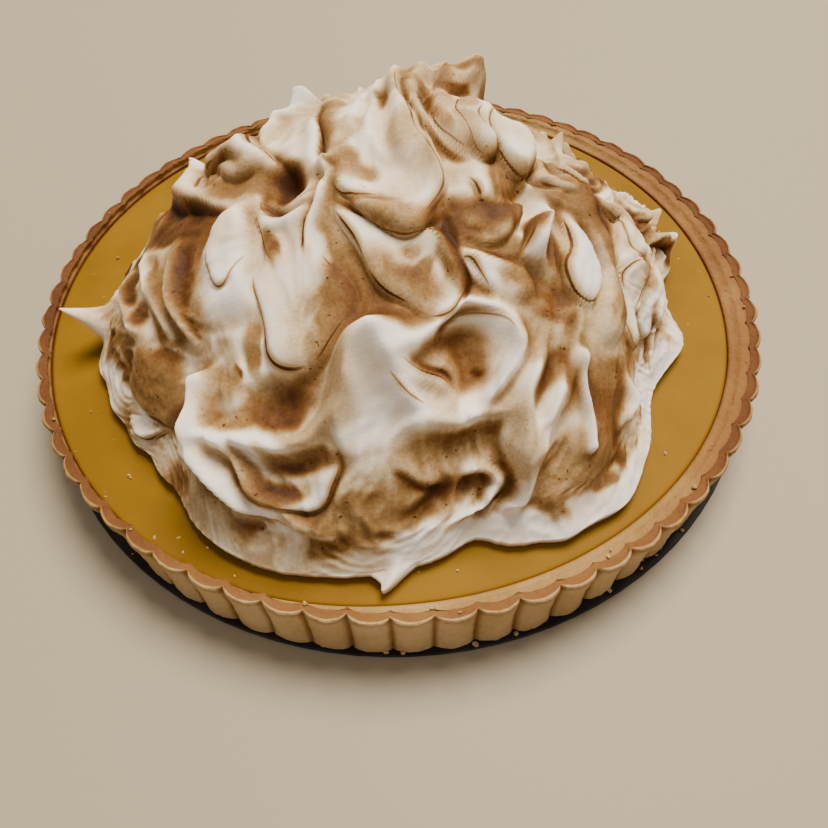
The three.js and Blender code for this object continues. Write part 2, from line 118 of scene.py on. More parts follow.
# Short words for adding and joining the nodes of one tree.
class Nodes:
    def __init__(self, tree):
        self.tree = tree

    def put(self, socket, value):
        if isinstance(value, bpy.types.NodeSocket):
            self.tree.links.new(value, socket)
        else:
            socket.default_value = value

    def add(self, kind, inputs=None, **settings):
        node = self.tree.nodes.new(kind)
        for key, value in settings.items():
            setattr(node, key, value)
        for key, value in (inputs or {}).items():
            self.put(node.inputs[key], value)
        return node

    def out(self, kind, inputs=None, **settings):
        return self.add(kind, inputs, **settings).outputs[0]

    def math(self, operation, *values):
        return self.out("ShaderNodeMath", dict(enumerate(values)), operation=operation)

    def plus(self, a, b):
        return self.math("ADD", a, b)

    def minus(self, a, b):
        return self.math("SUBTRACT", a, b)

    def times(self, a, b):
        return self.math("MULTIPLY", a, b)

    def vector(self, x=0.0, y=0.0, z=0.0):
        return self.out("ShaderNodeCombineXYZ", {0: x, 1: y, 2: z})

    def ramp(self, share, stops):
        node = self.add("ShaderNodeValToRGB", {0: share})
        bar = node.color_ramp
        while len(bar.elements) < len(stops):
            bar.elements.new(0.5)
        for element, (place, colour) in zip(bar.elements, stops):
            element.position = place
            element.color = (*colour, 1)
        return node.outputs["Color"]

    def linear(self, value, low, high):
        return self.math("MULTIPLY_ADD", value, high - low, low)

    def random(self, low, high, seed):
        node = self.add("FunctionNodeRandomValue", {2: low, 3: high, 8: seed}, data_type="FLOAT")
        return node.outputs[1]

    def fade(self, value, low, high, toLow=0.0, toHigh=1.0):
        inputs = {"Value": value, "From Min": low, "From Max": high, "To Min": toLow, "To Max": toHigh}
        return self.add("ShaderNodeMapRange", inputs, interpolation_type="SMOOTHSTEP").outputs["Result"]

    def blend(self, share, a, b):
        node = self.add("ShaderNodeMix", data_type="RGBA")
        self.put(node.inputs[0], share)
        for key, value in ((6, a), (7, b)):
            self.put(node.inputs[key], value if isinstance(value, bpy.types.NodeSocket) else (*value, 1))
        return node.outputs[2]

    def noise(self, place, scale, detail=3.0, rough=0.5):
        inputs = {"Vector": place, "Scale": scale, "Detail": detail, "Roughness": rough}
        return self.add("ShaderNodeTexNoise", inputs).outputs["Fac"]

    def attribute(self, name):
        return self.add("ShaderNodeAttribute", attribute_name=name).outputs["Fac"]

    def curve(self, share, points):
        node = self.add("ShaderNodeFloatCurve", {"Value": share})
        line = node.mapping.curves[0]
        while len(line.points) < len(points):
            line.points.new(0.5, 0.5)
        for point, (x, y) in zip(line.points, points):
            point.location = (x, y)
            point.handle_type = "AUTO_CLAMPED"
        node.mapping.update()
        return node.outputs[0]

    # Stores named numbers on a shape's points, for its material to read.
    def keep(self, shape, **values):
        for name, value in values.items():
            shape = self.out("GeometryNodeStoreNamedAttribute", {0: shape, "Name": name, "Value": value})
        return shape

    # Moves a shape in mm out along its own faces, and turns it into metres.
    def pushOut(self, shape, lift):
        normal = self.out("GeometryNodeInputNormal")
        push = self.out("ShaderNodeVectorMath", {0: normal, "Scale": lift}, operation="SCALE")
        shape = self.out("GeometryNodeSetPosition", {0: shape, "Offset": push})
        shape = self.out("GeometryNodeTransform", {0: shape, "Scale": (mm, mm, mm)})
        return self.out("GeometryNodeSetShadeSmooth", {0: shape})


# A material, its nodes, its shader and where each point of the surface is, in metres.
def newMaterial(name, settings):
    material = bpy.data.materials.new(name)
    material.use_nodes = True
    nodes = Nodes(material.node_tree)
    shader = material.node_tree.nodes["Principled BSDF"]
    for word, value in settings.items():
        shader.inputs[word].default_value = value
    place = nodes.add("ShaderNodeTexCoord").outputs["Object"]
    return material, nodes, shader, place


# Gives a shader its colour and its fine grain.
def finishSurface(nodes, shader, colour, height, strength, distance):
    nodes.put(shader.inputs["Base Color"], colour)
    bump = nodes.add("ShaderNodeBump", {"Height": height, "Strength": strength, "Distance": distance})
    nodes.put(shader.inputs["Normal"], bump.outputs["Normal"])


# Turns a tree of geometry nodes into a plain mesh; the sizes go in by their sockets' identifiers.
def grow(name, makeTree, sizes, material):
    tree = bpy.data.node_groups.new(name, "GeometryNodeTree")
    tree.interface.new_socket(name="Geometry", in_out="OUTPUT", socket_type="NodeSocketGeometry")
    sockets = {}
    for word, value in sizes.items():
        kind = "NodeSocketInt" if isinstance(value, int) else "NodeSocketFloat"
        sockets[word] = tree.interface.new_socket(name=word, in_out="INPUT", socket_type=kind).identifier
    nodes = Nodes(tree)
    given = nodes.add("NodeGroupInput").outputs
    shape = makeTree(nodes, {word: given[word] for word in sizes})
    shape = nodes.out("GeometryNodeRealizeInstances", {0: shape})
    shape = nodes.out("GeometryNodeSetMaterial", {0: shape, "Material": material})
    nodes.put(nodes.add("NodeGroupOutput").inputs[0], shape)
    source = meshObject(name + "Source", [], [], material)
    modifier = source.modifiers.new(name, "NODES")
    modifier.node_group = tree
    for word, value in sizes.items():
        modifier[sockets[word]] = value
    graph = bpy.context.evaluated_depsgraph_get()
    mesh = bpy.data.meshes.new_from_object(source.evaluated_get(graph), depsgraph=graph)
    source.modifiers.clear()
    bpy.data.objects.remove(source)
    mesh.name = name
    piece = bpy.data.objects.new(name, mesh)
    bpy.context.scene.collection.objects.link(piece)
    return piece


pieSet = {
    "curdHeight": 20.5,
    "gap": 0.3,
    "curdEdge": [(-180, 120.6), (-148, 120.8), (-117, 120.6), (-88, 117.2), (-56, 115.5), (-25, 114.8),
                 (5, 113.8), (50, 115.5), (100, 118.5), (145, 120.4)],
}

crustSet = {
    "radius": 124.8,       # to the tips of the flutes
    "flutes": 66,
    "fluteDepth": 2.1,
    "around": 1056,        # points round the edge
    "stepsPerRow": 6,      # points from one row of the section to the next
    "bearings": 48,        # places round the edge where its width is set
    "unevenness": 0.45,
    # how far the wall's foot stands in from the base's edge, by bearing
    "undercut": [(-180, 1.6), (-162, 2.2), (-150, 4.6), (-136, 4.2), (-126, 1.0), (-112, 0.2), (-80, 0.4),
                 (-60, 1.6), (-35, 3.0), (-10, 2.4), (40, 1.5), (110, 1.5)],
    # along the section: share of the outer edge and of the curd's edge, offset, height, share of the flutes
    "section": [
        (0.0, 0.0, 0.0, 1.5, 0.0), (1.0, 0.0, -1.3, 1.5, 0.6), (1.0, 0.0, -0.9, 2.2, 0.8),
        (1.0, 0.0, -0.9, 10.0, 1.0), (1.0, 0.0, -0.4, 19.0, 1.0), (1.0, 0.0, 0.0, 22.6, 1.0),
        (1.0, 0.0, -0.35, 23.8, 1.0), (1.0, 0.0, -1.0, 24.1, 0.95), (1.0, 0.0, -1.9, 23.6, 0.8),
        (1.0, 0.0, -3.8, 23.5, 0.45), (0.6, 0.4, -2.2, 22.9, 0.1), (0.25, 0.75, -0.5, 21.6, 0.0),
        (0.0, 1.0, 0.0, 20.4, 0.0), (0.0, 1.0, -0.3, 18.0, 0.0), (0.0, 1.0, -4.0, 5.9, 0.0),
        (0.0, 0.0, 0.0, 5.9, 0.0),
    ],
}


def crustTree(nodes, size):
    rows = crustSet["section"]
    last = len(rows) - 1
    shape = nodes.out("GeometryNodeMeshGrid", {
        "Size X": 1.0,
        "Size Y": 1.0,
        "Vertices X": size["Around"],
        "Vertices Y": crustSet["stepsPerRow"] * last + 1,
    })
    spot = nodes.add("ShaderNodeSeparateXYZ", {0: nodes.out("GeometryNodeInputPosition")})
    circuit = nodes.plus(spot.outputs["X"], 0.5)
    along = nodes.plus(spot.outputs["Y"], 0.5)
    angle = nodes.times(circuit, 2 * pi)
    cosine = nodes.math("COSINE", angle)
    sine = nodes.math("SINE", angle)

    def column(index, low, high):
        points = [(step / last, (row[index] - low) / (high - low)) for step, row in enumerate(rows)]
        return nodes.linear(nodes.curve(along, points), low, high)

    def byBearing(table, low, high):
        count = crustSet["bearings"]
        radii = ringRadius(table, np.radians(np.linspace(0, 360, count + 1)))
        points = [(step / count, (radius - low) / (high - low)) for step, radius in enumerate(radii)]
        return nodes.linear(nodes.curve(circuit, points), low, high)

    turn = nodes.math("FRACT", nodes.times(circuit, size["Flutes"]))
    lobe = nodes.math("POWER", nodes.math("SINE", nodes.times(turn, pi)), 0.7)
    uneven = nodes.linear(nodes.noise(nodes.vector(cosine, sine), 9, 3, 0.6), 0.1, 1.9)
    depth = nodes.times(uneven, size["Flute Depth"])
    dip = nodes.times(nodes.times(nodes.minus(1.0, lobe), depth), column(4, 0, 1))
    outerShare = column(0, 0, 1)
    outer = nodes.times(outerShare, size["Radius"])
    inner = nodes.times(column(1, 0, 1), byBearing(pieSet["curdEdge"], 110, 125))
    radius = nodes.minus(nodes.plus(nodes.plus(outer, inner), column(2, -5, 1)), dip)
    low = nodes.times(outerShare, nodes.fade(along, 0.34, 0.03))
    radius = nodes.minus(radius, nodes.times(byBearing(crustSet["undercut"], 0, 5), low))
    place = nodes.vector(nodes.times(radius, cosine), nodes.times(radius, sine), column(3, 0, 30))
    shape = nodes.keep(shape, section=along, lobe=lobe)
    shape = nodes.out("GeometryNodeSetPosition", {0: shape, "Position": place})
    shape = nodes.out("GeometryNodeMergeByDistance", {0: shape, "Distance": 0.001})
    # hand-pressed unevenness of the wall and rim
    here = nodes.out("GeometryNodeInputPosition")
    coarse = nodes.times(nodes.minus(nodes.noise(here, 0.09, 2, 0.5), 0.5), 2.2)
    fine = nodes.times(nodes.minus(nodes.noise(here, 0.34, 4, 0.62), 0.58), 2.4)
    lift = nodes.times(nodes.plus(coarse, fine), size["Unevenness"])
    row = nodes.out("GeometryNodeInputNamedAttribute", {"Name": "section"})
    kept = nodes.times(nodes.fade(row, 0.06, 0.13), nodes.fade(row, 0.79, 0.7))
    return nodes.pushOut(shape, nodes.times(lift, kept))


def crustMaterial():
    material, nodes, shader, place = newMaterial("bakedCrust", {
        "Roughness": 0.72,
        "Specular IOR Level": 0.15,
        "Subsurface Weight": 0.06,
        "Subsurface Radius": (0.003, 0.0015, 0.0006),
    })
    section = nodes.attribute("section")
    lobe = nodes.attribute("lobe")
    baked = nodes.curve(section, [
        (0.0, 0.12), (0.14, 0.12), (0.27, 0.04), (0.36, 0.2), (0.42, 0.02), (0.46, 0.3),
        (0.51, 0.66), (0.59, 0.62), (0.65, 0.34), (0.74, 0.3), (0.79, 0.62), (1.0, 0.5),
    ])
    clouds = nodes.noise(place, 45, 4, 0.6)
    grain = nodes.noise(place, 700, 3, 0.65)
    tone = nodes.plus(baked, nodes.times(nodes.minus(clouds, 0.5), 0.55))
    tone = nodes.plus(tone, nodes.times(nodes.minus(grain, 0.5), 0.2))
    # painted shade: the crust is darkened towards its left and right, where the key light would leave the
    # rim too pale
    across = nodes.math("ABSOLUTE", nodes.add("ShaderNodeSeparateXYZ", {0: place}).outputs["X"])
    tone = nodes.plus(tone, nodes.fade(across, 0.04, 0.118, 0.0, 0.28))
    # painted shade: the outer wall is darkened in the grooves between the flutes
    grooveShade = nodes.times(nodes.fade(lobe, 0.55, 0.0), nodes.fade(section, 0.5, 0.42))
    tone = nodes.plus(tone, nodes.times(grooveShade, 0.45))
    colour = nodes.ramp(tone, [
        (0.00, (0.60, 0.40, 0.19)), (0.30, (0.37, 0.212, 0.066)), (0.55, (0.27, 0.120, 0.032)),
        (0.80, (0.18, 0.066, 0.015)), (1.00, (0.10, 0.032, 0.008)),
    ])
    pits = nodes.noise(place, 1300, 3, 0.7)
    finishSurface(nodes, shader, colour, nodes.plus(nodes.times(grain, 1.5), pits), 0.5, 0.0006)
    return material


def makeCrust(s):
    sizes = {"Radius": s["radius"], "Flutes": s["flutes"], "Flute Depth": s["fluteDepth"],
             "Around": s["around"] + 1, "Unevenness": s["unevenness"]}
    piece = grow("flutedCrust", crustTree, sizes, crustMaterial())
    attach(piece, "root")
    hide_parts("crust")


makeCrust(crustSet)
print("crust baked")

crumbSet = {
    "size": 0.75,
    "seed": 11,
    # how many, least and greatest radius, least and greatest bearing in degrees, height
    "places": [
        (34, 121.3, 123.6, -165, -20, 1.7),
        (26, 117.0, 123.0, -180, 180, 23.7),
        (22, 107.0, 113.5, -180, 180, 20.6),
    ],
}


def crumbTree(nodes, size):
    bits = nodes.add("GeometryNodeJoinGeometry")
    bit = nodes.out("GeometryNodeMeshIcoSphere", {"Radius": 1.0, "Subdivisions": 3})
    for step, (count, near, far, low, high, height) in enumerate(crumbSet["places"]):
        seed = nodes.plus(size["Seed"], float(10 * step))
        bearing = nodes.math("RADIANS", nodes.random(low, high, seed))
        radius = nodes.random(near, far, nodes.plus(seed, 1.0))
        x = nodes.times(radius, nodes.math("COSINE", bearing))
        y = nodes.times(radius, nodes.math("SINE", bearing))
        points = nodes.out("GeometryNodePoints", {"Count": count, "Position": nodes.vector(x, y, height)})
        big = nodes.times(nodes.random(0.25, 1.0, nodes.plus(seed, 2.0)), size["Crumb Size"])
        length = nodes.times(big, nodes.random(0.7, 1.5, nodes.plus(seed, 3.0)))
        nodes.put(bits.inputs[0], nodes.out("GeometryNodeInstanceOnPoints", {
            "Points": points,
            "Instance": bit,
            "Rotation": nodes.vector(z=nodes.random(0.0, 6.28, nodes.plus(seed, 4.0))),
            "Scale": nodes.vector(length, big, nodes.times(big, 0.8)),
        }))
    shape = nodes.out("GeometryNodeRealizeInstances", {0: bits.outputs[0]})
    here = nodes.out("GeometryNodeInputPosition")
    lump = nodes.times(nodes.minus(nodes.noise(here, 1.6, 3, 0.6), 0.5), 1.1)
    return nodes.pushOut(nodes.keep(shape, section=0.3, lobe=1.0), lump)


def makeCrumbs(s):
    sizes = {"Crumb Size": s["size"], "Seed": s["seed"]}
    piece = grow("crustCrumbs", crumbTree, sizes, bpy.data.materials["bakedCrust"])
    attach(piece, "root")


makeCrumbs(crumbSet)
print("crumbs scattered")

curdSet = {
    "around": 360,
    "rings": 90,
    "bottom": 6.2,
    "sideGap": 0.12,       # between it and the crust
    "footIn": 4.4,         # how far its foot stands in from its edge
    "sink": 0.05,          # how far its top lies under the pie's curd height
    "edgeDip": 0.35,
    "ripple": 0.05,
}


def curdMaterial():
    material, nodes, shader, place = newMaterial("lemonCurd", {
        "Roughness": 0.55,
        "Specular IOR Level": 0.06,
        "Subsurface Weight": 0.1,
        "Subsurface Radius": (0.006, 0.003, 0.0005),
    })
    clouds = nodes.noise(place, 28, 4, 0.55)
    specks = nodes.noise(place, 420, 2, 0.5)
    colour = nodes.ramp(nodes.fade(clouds, 0.3, 0.7), [
        (0.0, (0.195, 0.092, 0.003)), (1.0, (0.245, 0.119, 0.005)),
    ])
    pale = nodes.fade(specks, 0.74, 0.8)
    colour = nodes.blend(nodes.times(pale, 0.6), colour, (0.75, 0.5, 0.12))
    # painted shade: the curd is darkened towards its edge, where it meets the crust
    edge = nodes.attribute("edge")
    colour = nodes.blend(nodes.times(edge, 0.55), colour, (0.30, 0.13, 0.012))
    finishSurface(nodes, shader, colour, nodes.noise(place, 90, 3, 0.5), 0.15, 0.0008)
    return material


def makeCurd(s):
    angle = np.linspace(0, 2 * pi, s["around"], endpoint=False)
    edge = ringRadius(pieSet["curdEdge"], angle) - s["sideGap"]
    rings = []
    shade = []
    for share in np.linspace(0.02, 1, s["rings"]) ** 0.75:
        radius = edge * share
        inset = edge - radius
        wave = np.sin(radius / 3.1 + 2 * np.sin(3 * angle)) + np.sin(11 * angle + radius / 5)
        height = pieSet["curdHeight"] - s["sink"] - s["edgeDip"] * np.exp(-inset / 0.6)
        height = height + s["ripple"] * wave * ease(0, 4, inset)
        rings.append(ringPoints(angle, radius, height))
        shade.append(np.exp(-inset / 1.1))
    rings.append(ringPoints(angle, edge - s["footIn"], np.full(len(angle), s["bottom"])))
    shade.append(np.ones(len(angle)))
    count = len(angle)
    points = np.vstack(rings + [[[0, 0, pieSet["curdHeight"]]], [[0, 0, s["bottom"]]]])
    top = len(points) - 2
    faces = []
    for level in range(len(rings) - 1):
        for step in range(count):
            after = (step + 1) % count
            near = level * count
            far = near + count
            faces.append([near + step, far + step, far + after, near + after])
    last = (len(rings) - 1) * count
    for step in range(count):
        after = (step + 1) % count
        faces.append([top, step, after])
        faces.append([top + 1, last + after, last + step])
    piece = meshObject("curdLayer", points * mm, faces, curdMaterial())
    # the edge attribute holds painted shade, strongest at the curd's edge
    addFloat(piece, "edge", np.concatenate(shade + [[0, 1]]))
    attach(piece, "root")
    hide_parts("filling")


makeCurd(curdSet)
print("curd poured")


def tinMaterial():
    material, nodes, shader, place = newMaterial("darkTin", {"Roughness": 0.55, "Specular IOR Level": 0.25})
    worn = nodes.noise(place, 60, 5, 0.65)
    fine = nodes.noise(place, 1500, 2, 0.5)
    colour = nodes.ramp(worn, [(0.35, (0.010, 0.007, 0.006)), (0.7, (0.032, 0.022, 0.016))])
    finishSurface(nodes, shader, colour, fine, 0.2, 0.0002)
    return material


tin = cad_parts["tin_base"]
tin.data.materials.clear()
tin.data.materials.append(tinMaterial())
print("tin finished")

moundSet = {
    "height": 62.0,
    "edge": 2.6,           # its lower edge above the curd
    "waver": 0.9,          # how far its foot runs in and out
    "crownShift": (7.0, 12.0),
    "belly": 1.05,         # how early its side turns steep
    "dome": 1.35,          # how early its top falls away
    "cells": 308,          # rows of the chart
    "base": 2.0,           # thickness of the plain surface over the mound's own form
    "relief": 1.5,         # how strongly ridges and lips stand out
    "marks": 3.0,          # height of the small folds between the named ones
    "overhang": 1.6,       # how far a full lip leans out, in hundredths of the way down the mound
    "foot": [(-180, 96), (-163, 102), (-150, 104), (-134, 104), (-116, 112), (-103, 112), (-92, 108),
             (-80, 103), (-70, 108), (-55, 110), (-45, 104), (-34, 95), (-20, 98), (-5, 93), (8, 97),
             (25, 86), (45, 72), (65, 68), (90, 68), (120, 70), (140, 74), (160, 84)],
    # how far its thin skirt runs out over the curd, by bearing
    "apron": [(-180, 2), (-150, 5), (-120, 6), (-95, 3), (-75, 7), (-25, 8), (5, 4), (40, 1), (140, 1)],
    # where its foot runs out in a drip, how wide, and how far in mm
    "drips": [((-3, -100), 4.4, (-4.5, -6)), ((-7, -100), 2.2, (-6, 1.5))],
    # the share by which its shoulder sinks, by bearing
    "slump": [(-180, 0.0), (-60, 0.0), (-20, 0.05), (10, 0.3), (35, 0.45), (65, 0.3), (105, 0.0)],
}


def moundPoint(across, away):
    angle = np.arctan2(away, across)
    way = np.hypot(across, away) / 100
    turn = np.minimum(way, 1) * pi / 2
    apron = ringRadius(moundSet["apron"], angle)
    radius = (ringRadius(moundSet["foot"], angle) - apron) * np.sin(turn) ** moundSet["belly"]
    radius = radius + apron * ease(0.86, 1.02, way)
    waver = np.sin(11 * angle + 2 * np.sin(4 * angle)) + 0.7 * np.sin(27 * angle + 3 * np.sin(5 * angle))
    radius = radius + moundSet["waver"] * waver * ease(0.84, 1, way)
    lift = moundSet["height"] * np.maximum(np.cos(turn), 0) ** moundSet["dome"]
    lift = lift * (1 - ringRadius(moundSet["slump"], angle) * np.sin(turn))
    shiftX, shiftY = moundSet["crownShift"]
    x = shiftX * (1 - way) + radius * np.cos(angle)
    y = shiftY * (1 - way) + radius * np.sin(angle)
    return np.stack([x, y, pieSet["curdHeight"] + moundSet["edge"] + lift], -1)


def moundNormal(across, away):
    shrink = np.minimum(1, 99 / np.maximum(np.hypot(across, away), 1e-6))
    u, v = across * shrink, away * shrink
    step = 0.4
    alongU = moundPoint(u + step, v) - moundPoint(u - step, v)
    alongV = moundPoint(u, v + step) - moundPoint(u, v - step)
    normal = np.cross(alongU, alongV)
    return normal / np.linalg.norm(normal, axis=-1, keepdims=True)


# Places on the mound are (across, away), in hundredths of the way from its top to its foot.
# brown is how toasted a fold is inside, edge at its rim, and singe how burnt its lip is.
def sheet(tail, middle, tip, wide, level, lips=(0, 0), dish=0.0, brown=0.1, edge=0.2, singe=0.0):
    return dict(kind="sheet", line=(tail, middle, tip), wide=wide, level=level, lips=lips, dish=dish,
                brown=brown, edge=edge, singe=singe)


def ridge(tail, middle, tip, wide, rise, brown=None, singe=0.0):
    return dict(kind="ridge", line=(tail, middle, tip), wide=wide, rise=rise, brown=brown, singe=singe)


# An edge that stands over what lies beside it: high on the left of its line, low on the right.
def lip(tail, middle, tip, rise, top=4, under=4, brown=None, below=None, singe=0.8):
    return dict(kind="lip", line=(tail, middle, tip), rise=rise, wide=(top, under), brown=brown,
                below=below, singe=singe)


def peak(at, wide, rise, lean=(0, 0), brown=None):
    return dict(kind="peak", at=at, wide=wide, rise=rise, lean=lean, brown=brown)


# A soft rise, or a hollow where rise is under zero.
def swell(at, size, turn, rise, brown=None):
    return dict(kind="swell", at=at, size=size, turn=turn, rise=rise, brown=brown)


def patch(at, size, turn, brown):
    return swell(at, size, turn, 0.0, brown)


